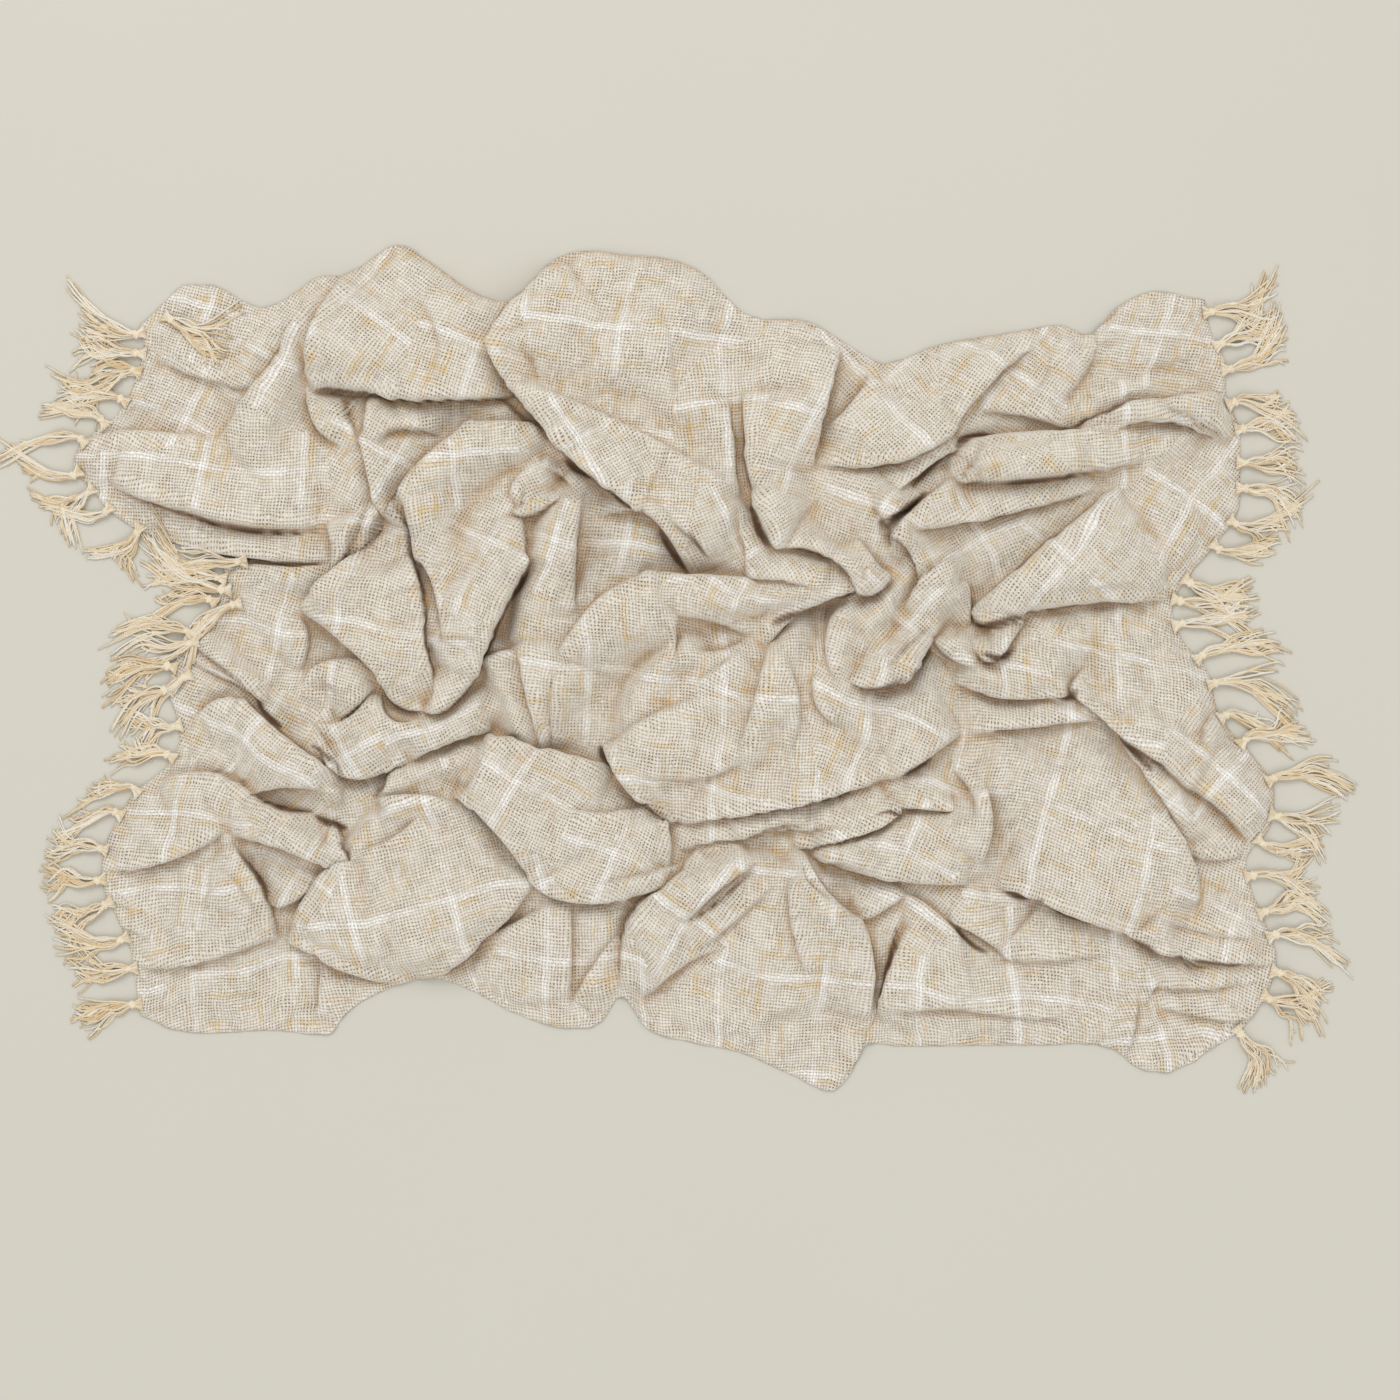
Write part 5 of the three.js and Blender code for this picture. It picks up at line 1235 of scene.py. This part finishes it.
@dataclass(frozen=True)
class FloorFinish:
    """Plain pale floor with a very faint mottle between its two colours."""

    tint: tuple = colour(209, 206, 194)
    shade: tuple = colour(204, 201, 188)

    def material(self) -> bpy.types.Material:
        """Floor material."""
        net = Net("pale floor")
        mottle = net.noise(net.spot(), 3.0, 4.0)
        net.finish(net.blend(mottle * 0.25, self.tint, self.shade), 0.9, None, 0.0, 0.0)
        return net.material


@dataclass(frozen=True)
class Wrinkling:
    """Blender's cloth, run on a coarser copy of the sheet so that its spare length buckles into wrinkles.

    Attributes:
        spare: share by which the cloth is longer than the folds that it is laid in.
        hold: how firmly it is held to those folds.
        freest: share of that hold left well inside the sheet.
        bend: stiffness against bending.
        frames: frames until it has come to rest.
        cap: farthest that a point may move, in millimetres.
        levels: steps in which the hold grows towards the outline.
        border: plan units from the outline over which it does so.
    """

    spare: float = 0.09
    hold: float = 0.22
    freest: float = 0.12
    bend: float = 0.5
    frames: int = 18
    cap: float = 8.0
    levels: int = 8
    border: float = 30.0

    def _add_cloth(self, made: bpy.types.Object) -> None:
        """Adds the cloth modifier of a soft open weave, without gravity, held by the group named hold."""
        cloth = made.modifiers.new("wrinkles", "CLOTH")
        values = cloth.settings
        values.quality = 5
        values.mass = 0.1
        values.tension_stiffness = values.compression_stiffness = 40.0
        values.shear_stiffness = 10.0
        values.bending_stiffness = self.bend
        values.shrink_min = -self.spare
        values.vertex_group_mass = "hold"
        values.pin_stiffness = self.hold
        values.air_damping = 2.0
        values.effector_weights.gravity = 0.0
        cloth.collision_settings.use_collision = False
        cloth.collision_settings.use_self_collision = False
        cloth.point_cache.frame_end = self.frames

    def moves(self, points: Array, distance: Array) -> Array:
        """Runs the cloth on a grid of points.

        Args:
            points: grid of places (rows, columns, 3) in metres.
            distance: rough distance of each place from the outline, in plan units.

        Returns:
            How far each place moves (rows, columns, 3), in metres.
        """
        made = make_mesh("wrinkling", points.reshape(-1, 3), grid_faces(*points.shape[:2]))
        group = made.vertex_groups.new(name="hold")
        step = np.round(np.clip(distance.ravel() / self.border, 0, 1) * self.levels).astype(int)
        for level in range(self.levels + 1):
            held = mix(1.0, self.freest, level / self.levels)
            group.add(np.flatnonzero(step == level).tolist(), held, "REPLACE")
        self._add_cloth(made)
        for number in range(1, self.frames + 1):
            bpy.context.scene.frame_set(number)
        shape = made.evaluated_get(bpy.context.evaluated_depsgraph_get())
        end = np.empty(points.size, np.float32)
        shape.data.vertices.foreach_get("co", end)
        bpy.context.scene.frame_set(1)
        mesh = made.data
        bpy.data.objects.remove(made)
        bpy.data.meshes.remove(mesh)
        moved = end.reshape(points.shape) - points
        size = np.linalg.norm(moved, axis=-1, keepdims=True) / MM
        LOG.info("wrinkles move the sheet by %.1f mm, and %.1f mm at most", size.mean(), size.max())
        return moved * self.cap * np.tanh(size / self.cap) / np.maximum(size, 1e-6)


@dataclass(frozen=True)
class Relief:
    """Height of the finished sheet over the floor, for what lies on it.

    Attributes:
        heights: softened highest point of the sheet in each square of a grid, in millimetres.
        low: the grid's first corner in the part's frame, in millimetres.
        pitch: side of its squares, in millimetres.
        margin: width of floor round the sheet that the grid takes in, in millimetres.
    """

    heights: Array
    low: Array
    pitch: float = 5.0
    margin: float = 30.0

    @classmethod
    def of(cls, points: Array) -> "Relief":
        """Relief of a sheet's points (n, 3) in metres."""
        spots = points / MM
        low = spots[:, :2].min(0) - cls.margin
        size = ((spots[:, :2].max(0) + cls.margin - low) / cls.pitch).astype(int) + 2
        heights = np.zeros(size)
        cell = ((spots[:, :2] - low) / cls.pitch).astype(int)
        np.maximum.at(heights, (cell[:, 0], cell[:, 1]), spots[:, 2])
        return cls(soften(heights, 2), low)

    def at(self, places: Array) -> Array:
        """Heights at places (..., 2) in millimetres, by straight mixing between squares."""
        grid = np.clip((places - self.low) / self.pitch - 0.5, 0, np.array(self.heights.shape) - 1.001)
        ix, iy = grid[..., 0].astype(int), grid[..., 1].astype(int)
        tx, ty = grid[..., 0] - ix, grid[..., 1] - iy
        at_low = mix(self.heights[ix, iy], self.heights[ix + 1, iy], tx)
        at_high = mix(self.heights[ix, iy + 1], self.heights[ix + 1, iy + 1], tx)
        return mix(at_low, at_high, ty)


@dataclass
class Cloth:
    """The crumpled sheet of cloth.

    Attributes:
        columns: grid lines from the left to the right end.
        rows: grid lines from the back to the front edge.
        flat: size of the throw laid flat, without its fringe, in metres.
        heap: the folds that it lies in.
        ease_from: height in millimetres from which the highest places are eased down.
        highest: height that they stay under.
        lowest: least height of the sheet over the floor, in millimetres.
        laid_share: share of the cloth taken up by the folds that moves the check along.
        laid_soft: rounds of softening of what it moves by.
        near_hollow: depth in millimetres at which a narrow hollow is fully shaded.
        wide_hollow: depth in millimetres at which a wide hollow is fully shaded.
        unshaded: share of the shading that slight hollows go without.
    """

    columns: int = 377
    rows: int = 263
    flat: tuple[float, float] = (1.35, 1.2)
    heap: Heap = field(default_factory=Heap)
    ease_from: float = 60.0
    highest: float = 73.0
    lowest: float = 0.4
    laid_share: float = 0.3
    laid_soft: int = 120
    near_hollow: float = 4.5
    wide_hollow: float = 44.0
    unshaded: float = 0.12

    def taken_up(self, place: Array, height: Array, axis: int) -> Array:
        """Cloth taken up by the slopes along one way of the grid, in millimetres.

        It is a share of the running sum of root(1 + slope squared) - 1, softened so that the yarns that
        lie across the folds stay nearly straight.

        Args:
            place: plan places along that way.
            height: heights in millimetres.
            axis: axis of the grid that runs that way.

        Returns:
            Millimetres to add at each place.
        """
        run = np.gradient(place, axis=axis).clip(1e-3) * PLAN_UNIT
        total = np.cumsum((np.sqrt(1 + (np.gradient(height, axis=axis) / run) ** 2) - 1) * run, axis=axis)
        return self.laid_share * soften(total, self.laid_soft)

    def panel_uv(self, points: Array, plan: Array, faces: Array) -> Array:
        """UV of each corner of each face, in metres of cloth.

        A face takes the panel whose crossing is nearest for its reach. Its plan place, from that crossing
        and turned with the panel, is the UV, plus the cloth that the folds take up on the way there. Each
        panel is moved on by whole squares of the check, so that no two have the same slubs.

        Args:
            points: the sheet's points (rows, columns, 3) in metres, before its wrinkles.
            plan: their plan places (rows, columns, 2).
            faces: the sheet's faces.

        Returns:
            A row (4, 2) for each face.
        """
        smooth = soften(points[..., 2], 10) / MM
        taken = [self.taken_up(plan[..., axis], smooth, 1 - axis).ravel() for axis in (0, 1)]
        plan = plan.reshape(-1, 2)
        _, px, py, turn, reach = zip(*PANELS)
        px, py, turn, reach = (np.array(v, float) for v in (px, py, turn, reach))
        centre = plan[faces].mean(1)
        nearest = (np.hypot(centre[:, :1] - px, centre[:, 1:] - py) / reach).argmin(1)
        anchor = np.hypot(plan[:, :1] - px, plan[:, 1:] - py).argmin(0)[nearest]
        spans = []
        for axis, crossing in enumerate((px, py)):
            span = (plan[faces][..., axis] - crossing[nearest][:, None]) * PLAN_UNIT
            spans.append(span + taken[axis][faces] - taken[axis][anchor][:, None])
        east, south = spans
        angle = np.radians(turn)[nearest][:, None]
        u = east * np.cos(angle) + south * np.sin(angle)
        v = south * np.cos(angle) - east * np.sin(angle)
        panel = nearest[:, None]
        u, v = u + ClothFinish.check * (7 * panel % 23), v + ClothFinish.check * (5 * panel % 19)
        return np.stack([u, v], -1) * MM

    def hollow(self, grid: Array) -> Array:
        """How far each point lies below its surroundings, from 0 to 1: the mask of the painted shade in
        hollows.
        """
        z = grid[..., 2] / MM
        near, wide = soften(z, 12) - z, soften(z, 90) - z
        return np.clip(near / self.near_hollow + wide / self.wide_hollow - self.unshaded, 0, 1)

    def steep(self, grid: Array) -> Array:
        """How steep the sheet is at each point: 0 where it lies flat and 1 where it stands upright."""
        along, over = np.gradient(grid, axis=1), np.gradient(grid, axis=0)
        normal = np.cross(along, over)
        return 1 - np.abs(normal[..., 2]) / (np.linalg.norm(normal, axis=-1) + 1e-12)

    def build(self) -> tuple[bpy.types.Object, Relief]:
        """Makes the sheet's mesh with its UV map and its attributes.

        Returns:
            The sheet, and its heights for the fringe that lies on it.
        """
        across, down = np.meshgrid(np.linspace(0, 1, self.columns), np.linspace(0, 1, self.rows))
        points, plan, slit = self.heap.surface(across, down)
        faces = grid_faces(self.rows, self.columns)
        final = self.wrinkled(points, across, down)
        made = make_mesh("blanket_cloth", final.reshape(-1, 3), faces)
        uv = self.panel_uv(points, plan, faces)
        made.data.uv_layers.new(name="cloth").data.foreach_set("uv", uv.astype(np.float32).ravel())
        # Masks of painted shade: in hollows, and in the slits and gaps between folds.
        set_attribute(made, "hollow", self.hollow(final).ravel())
        set_attribute(made, "slit", soften(slit, 1).ravel())
        set_attribute(made, "steep", self.steep(final).ravel())
        return made, Relief.of(final.reshape(-1, 3))

    def wrinkled(self, points: Array, across: Array, down: Array) -> Array:
        """Moves the sheet's points by its wrinkles and eases the highest places down.

        The cloth is run on every second grid line.

        Args:
            points: the sheet's points (rows, columns, 3) in metres.
            across: their shares from the left to the right end.
            down: their shares from the back to the front edge.

        Returns:
            The moved points.
        """
        final = points.copy()
        distance = edge_distance(across, down)
        moved = Wrinkling().moves(points[::2, ::2], distance[::2, ::2])
        wide = np.empty((moved.shape[0], self.columns, 3))
        wide[:, ::2], wide[:, 1::2] = moved, (moved[:, 1:] + moved[:, :-1]) / 2
        full = np.empty(points.shape)
        full[::2], full[1::2] = wide, (wide[1:] + wide[:-1]) / 2
        final += np.stack([soften(full[..., axis], 2) for axis in range(3)], -1)
        z = final[..., 2] / MM
        over = np.maximum(z - self.ease_from, 0)
        room = self.highest - self.ease_from
        eased = np.minimum(z, self.ease_from) + room * np.tanh(over / room)
        final[..., 2] = np.maximum(eased, self.lowest) * MM
        return final

    def dress(self, made: bpy.types.Object, fringe: Sequence[bpy.types.Object]) -> None:
        """Gives the sheet its material and its body, in place of the cloth's solid."""
        made.data.materials.append(ClothFinish().material())
        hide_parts("cloth")
        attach(made, "root")


@dataclass
class Fringe:
    """Knotted tassels along one end of the sheet.

    Attributes:
        end: which end.
        relief: heights of the sheet that the yarns may lie on.
        yarns: loose yarns in a tassel.
        locks: bunches that a tassel's yarns keep to.
        thickness: radius of a yarn in millimetres.
        sides: sides of a yarn's section.
        steps: places along a yarn.
        tied: share of those places that lie in the cloth's edge and the knot.
        turn: spread of the tassels' turns away from their tips in the table, in radians.
        wave: width of a bunch's waves in millimetres.
        inside: distance that a yarn starts inside the cloth's edge, in millimetres.
        knot_end: distance from the root to the far end of the knot, in millimetres.
        shortest: least distance that a tassel reaches outwards, in millimetres.
        knot_radius: least and largest radius of a knot in millimetres.
        knot_length: least and largest length of a knot in millimetres.
        knot_rise: height of a knot's axis over what it lies on, in millimetres.
        knot_sides: points round the knot.
        knot_rings: rings along the knot.
        knot_step: length of yarn between two rings, in metres.
        knot_tone: tone of the knot's yarn.
        seeds: seed of the random draws for the left and for the right end.
    """

    end: End
    relief: Relief
    yarns: int = 30
    locks: int = 6
    thickness: float = 1.0
    sides: int = 4
    steps: int = 16
    tied: float = 0.16
    turn: float = 0.24
    wave: float = 4.4
    inside: float = 5.0
    knot_end: float = 7.0
    shortest: float = 40.0
    knot_radius: tuple[float, float] = (3.0, 4.3)
    knot_length: tuple[float, float] = (7.5, 10.0)
    knot_rise: float = 3.6
    knot_sides: int = 14
    knot_rings: int = 11
    knot_step: float = 0.0012
    knot_tone: float = 0.42
    seeds: tuple[int, int] = (5, 8)

    def seat(self, y: float) -> tuple[Array, Array]:
        """Place on the rim and its outward direction, in millimetres, nearest a plan y."""
        share = 0.0 if self.end is End.LEFT else 1.0
        down = np.linspace(0, 1, RIM_ROWS + 1)
        rim = np.stack(plan_point(np.full_like(down, share), down), 1)
        row = int(np.clip(np.searchsorted(rim[:, 1], y), 1, RIM_ROWS))
        low, high = rim[row - 1], rim[row]
        part = float(np.clip((y - low[1]) / (high[1] - low[1]), SEAT_MARGIN, 1 - SEAT_MARGIN))
        spot = mix(low, high, part)
        run = high - low
        outward = np.array([-run[1], -run[0]]) / np.hypot(*run) * (1 if self.end is End.LEFT else -1)
        return np.array(to_part(*spot)), outward

    def yarn_paths(self, rng: np.random.Generator, spot: Array, out: Array, tip: Array) -> Array:
        """Centre lines of one tassel's yarns.

        Each starts in the cloth's edge, closes in on the knot, and then runs out on a parabola to its
        own tip. Yarns keep to a few bunches that wave together, spread sideways and curl at their ends.

        Args:
            rng: source of the random draws.
            spot: the tassel's root, in millimetres.
            out: the cloth's outward direction there.
            tip: plan place that the longest yarn points to.

        Returns:
            Points (yarns, steps, 3) in millimetres.
        """
        side = np.array([-out[1], out[0]])
        to_tip = np.array(to_part(*tip)) - spot
        turn = rng.normal(0, self.turn)
        to_tip = to_tip * math.cos(turn) + np.array([-to_tip[1], to_tip[0]]) * math.sin(turn)
        reach, swing = max(to_tip @ out, self.shortest) * rng.uniform(0.9, 1.12), to_tip @ side
        s = np.linspace(0, 1, self.steps)[None]
        lock = np.arange(self.yarns) % self.locks
        lanes = rng.permutation(np.linspace(-1, 1, self.locks))[lock]
        lane = (lanes + rng.normal(0, 0.1, self.yarns))[:, None]
        lengths = rng.uniform(0.8, 1.0, self.locks)[lock]
        length = (lengths + rng.uniform(-0.14, 0.06, self.yarns))[:, None]
        bends = rng.normal(0, 0.9, self.locks)[lock] + rng.normal(0, 0.25, self.yarns)
        bend = bends[:, None] + rng.normal(0, 0.6)
        t = np.clip((s - self.tied) / (1 - self.tied), 0, 1)
        tied = mix(-self.inside, self.knot_end, s / self.tied)
        along = np.where(s < self.tied, tied, mix(self.knot_end, reach * length, t))
        root = lane * 4.5 * np.clip(1 - s / 0.12, 0, 1) ** 1.5 + lane * 2.0
        turns = (rng.uniform(0.7, 1.7, self.locks)[lock] + rng.normal(0, 0.12, self.yarns))[:, None]
        phase = t * turns + rng.uniform(0, 1, self.locks)[lock][:, None]
        wave = np.sin(2 * math.pi * phase)
        loose = rng.normal(0, 1, (self.yarns, 1)) * (1.0 + 4.0 * t**2)
        curl = bend * 12.0 * np.clip(t - 0.5, 0, 1) ** 1.5 * 3
        fan = (lane * 10.0 + bend * 4.0) * t**0.8 + wave * self.wave * t**0.6 + loose * t**0.5 + curl
        across = root + fan + swing * length * (0.3 * t + 0.7 * t**1.7)
        pile = rng.uniform(0, 5.0, (self.yarns, 1))
        lift = self.thickness + pile * np.exp(-((t / 0.6) ** 2)) + 1.0 * (1 + wave) * (1 - t)
        lift = np.where(s < self.tied, self.thickness + 1.0 + pile * 0.5 * (s / self.tied), lift)
        plan = spot + along[..., None] * out + across[..., None] * side
        return np.concatenate([plan, (lift + self.relief.at(plan))[..., None]], -1)

    def tubes(self, paths: Array, radius: Array) -> tuple[Array, Array, Array]:
        """Round surface along each path: the section's ring stands square to the path's run.

        Args:
            paths: centre lines (count, steps, 3) in millimetres.
            radius: radius at each point (count, steps).

        Returns:
            Points, faces, and UV of each face's corners: share round the yarn, and metres along it.
        """
        count, steps, _ = paths.shape
        run = np.gradient(paths, axis=1)
        run /= np.linalg.norm(run, axis=-1, keepdims=True) + 1e-9
        level = np.cross(run, np.array([0, 0, 1.0]))
        level /= np.linalg.norm(level, axis=-1, keepdims=True) + 1e-9
        upright = np.cross(level, run)
        angle = np.arange(self.sides) / self.sides * 2 * math.pi
        ring = level[:, :, None] * np.cos(angle)[:, None] + upright[:, :, None] * np.sin(angle)[:, None]
        points = paths[:, :, None] + ring * radius[:, :, None, None]
        tube = closed_faces(steps, self.sides)
        faces = (tube[None] + np.arange(count)[:, None, None] * steps * self.sides).reshape(-1, 4)
        index = faces % (steps * self.sides)
        length = np.linalg.norm(np.diff(paths, axis=1), axis=-1).cumsum(1)
        length = np.concatenate([np.zeros((count, 1)), length], 1)
        which = faces // (steps * self.sides)
        turn = (index % self.sides) / self.sides
        turn = np.where((turn.max(1, keepdims=True) > 0.6) & (turn < 0.2), turn + 1, turn)
        return points.reshape(-1, 3), faces, np.stack([turn, length[which, index // self.sides] * MM], -1)

    def knot(self, rng: np.random.Generator, spot: Array, out: Array) -> tuple[Array, Array]:
        """Knot: a barrel round the tassel's axis whose radius swells in the turns of a spiral.

        Args:
            rng: source of the random draws.
            spot: the tassel's root, in millimetres.
            out: the cloth's outward direction there.

        Returns:
            Points (n, 3) in millimetres, and faces.
        """
        side = np.array([-out[1], out[0]])
        round_it = -np.arange(self.knot_sides) / self.knot_sides * 2 * math.pi
        turn, s = np.meshgrid(round_it, np.linspace(0, 1, self.knot_rings))
        body = np.sin(math.pi * np.clip(s, 0.02, 0.98)) ** 0.5
        swell = 1 + 0.2 * np.sin(2 * turn + 9.0 * s + rng.uniform(0, 6))
        radius = rng.uniform(*self.knot_radius) * body * swell
        along = 1.0 + rng.uniform(*self.knot_length) * s
        plan = spot + along[..., None] * out + (radius * np.cos(turn) * 1.15)[..., None] * side
        up = self.knot_rise + self.relief.at(plan).mean() + radius * np.sin(turn) * 0.85
        faces = closed_faces(self.knot_rings, self.knot_sides)
        return np.concatenate([plan, up[..., None]], -1).reshape(-1, 3), faces

    def places(self) -> Iterator[tuple[Array, Array, Array]]:
        """Root, outward direction and tip of each tassel, those on the rim before those on the cloth."""
        for end, y, tip_x, tip_y in TASSELS:
            if end == self.end.value:
                spot, out = self.seat(y)
                yield spot, out, np.array([tip_x, tip_y], float)
        for end, x, y, tip_x, tip_y in TURNED_TASSELS:
            if end == self.end.value:
                spot = np.array(to_part(x, y))
                run = np.array(to_part(tip_x, tip_y)) - spot
                yield spot, run / np.linalg.norm(run), np.array([tip_x, tip_y], float)

    def build(self) -> bpy.types.Object:
        """Makes every tassel of this end as one mesh."""
        rng = np.random.default_rng(self.seeds[0 if self.end is End.LEFT else 1])
        points, faces, tones, uvs, start = [], [], [], [], 0
        for spot, out, tip in self.places():
            paths = self.yarn_paths(rng, spot, out, tip)
            taper = np.linspace(1, 0.85, self.steps)[None] * rng.uniform(0.75, 1.3, (self.yarns, 1))
            shape, quads, uv = self.tubes(paths, taper * self.thickness)
            tone = np.repeat(rng.uniform(0, 1, self.yarns), self.steps * self.sides)
            ball, wrap = self.knot(rng, spot, out)
            points += [shape, ball]
            faces += [quads + start, wrap + start + len(shape)]
            ring, round_it = wrap // self.knot_sides, wrap % self.knot_sides
            uvs += [uv, np.stack([round_it / self.knot_sides, ring * self.knot_step], -1)]
            tones += [tone, np.full(len(ball), self.knot_tone)]
            start += len(shape) + len(ball)
        made = make_mesh(f"fringe_{self.end.value}", np.concatenate(points) * MM, np.concatenate(faces))
        layer = made.data.uv_layers.new(name="yarn")
        layer.data.foreach_set("uv", np.concatenate(uvs).astype(np.float32).ravel())
        set_attribute(made, "tone", np.concatenate(tones))
        return made

    def dress(self, made: bpy.types.Object, material: bpy.types.Material) -> None:
        """Gives the fringe its material and body, in place of the tassels' solids."""
        made.data.materials.append(material)
        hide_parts(*[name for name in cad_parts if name.startswith(f"tassel_{self.end.value}_")])
        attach(made, "root")


@dataclass
class Studio:
    """Plain pale floor, soft light and the camera above.

    Attributes:
        view: width of floor that the picture takes in, in metres.
        height: height of the camera above the floor, in metres.
        sensor: width of the camera's sensor, in millimetres.
        aim: place of the picture's centre on the floor.
        half_floor: half the side of the floor, in metres.
        floor_lines: grid lines across it.
        floor_drop: distance of the floor below the part, in metres.
        sky_tint: colour of the sky.
        sky_strength: strength of its light.
    """

    view: float = 1400 * PLAN_UNIT * MM
    height: float = 2.9
    sensor: float = 36.0
    aim: tuple[float, float] = (0.0226, -0.0325)
    half_floor: float = 6.0
    floor_lines: int = 25
    floor_drop: float = 0.0005
    sky_tint: tuple = (0.985, 0.985, 1.0, 1.0)
    sky_strength: float = 0.75

    def floor(self) -> bpy.types.Object:
        """Level floor, a fine grid so that it takes soft light evenly."""
        line = np.linspace(-self.half_floor, self.half_floor, self.floor_lines)
        x, y = np.meshgrid(line, line)
        points = np.stack([x, y, np.full_like(x, -self.floor_drop)], -1).reshape(-1, 3)
        made = make_mesh("floor", points, grid_faces(self.floor_lines, self.floor_lines)[:, ::-1])
        made.data.materials.append(FloorFinish().material())
        return made

    def camera(self) -> None:
        """Camera looking straight down, with the picture's top towards the back."""
        data = bpy.data.cameras.new("camera")
        data.sensor_width = self.sensor
        data.lens = self.sensor * self.height / self.view
        made = bpy.data.objects.new("camera", data)
        made.location = (self.aim[0], self.aim[1], self.height)
        bpy.context.scene.collection.objects.link(made)
        bpy.context.scene.camera = made

    def lamp(self, name: str, place: tuple, size: float, power: float, tint: tuple) -> None:
        """Square soft lamp pointed at the middle of the floor.

        Args:
            name: name of the lamp.
            place: where it hangs, in metres.
            size: side of the square, in metres.
            power: power in watts.
            tint: colour of its light.
        """
        data = bpy.data.lights.new(name, "AREA")
        data.size, data.energy, data.color = size, power, tint
        made = bpy.data.objects.new(name, data)
        spot = np.array(place, float)
        made.location = spot
        down = -spot / np.linalg.norm(spot)
        pitch, yaw = math.acos(-down[2]), math.atan2(down[1], down[0])
        made.rotation_euler = (0.0, -pitch, yaw)
        bpy.context.scene.collection.objects.link(made)

    def light(self) -> None:
        """A large key from the back left, a weak fill from the front, and a pale sky."""
        self.lamp("key", (-0.9, 2.9, 3.9), 2.4, 74.0, (1.0, 0.985, 0.955))
        self.lamp("fill", (0.9, -2.6, 3.6), 2.8, 31.0, (1.0, 0.99, 0.975))
        world = bpy.data.worlds.new("sky")
        world.use_nodes = True
        sky = world.node_tree.nodes["Background"]
        sky.inputs["Color"].default_value = self.sky_tint
        sky.inputs["Strength"].default_value = self.sky_strength
        bpy.context.scene.world = world


def main() -> None:
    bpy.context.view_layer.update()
    bpy.context.scene.view_settings.view_transform = "Standard"
    studio = Studio()
    studio.camera()
    studio.floor()
    studio.light()
    cloth = Cloth()
    sheet, relief = cloth.build()
    LOG.info("%s: %d faces", sheet.name, len(sheet.data.polygons))
    yarn = YarnFinish().material()
    ends = []
    for end in End:
        fringe = Fringe(end, relief)
        made = fringe.build()
        fringe.dress(made, yarn)
        ends.append(made)
        LOG.info("%s: %d faces", made.name, len(made.data.polygons))
    cloth.dress(sheet, ends)


if __name__ == "__main__":
    main()
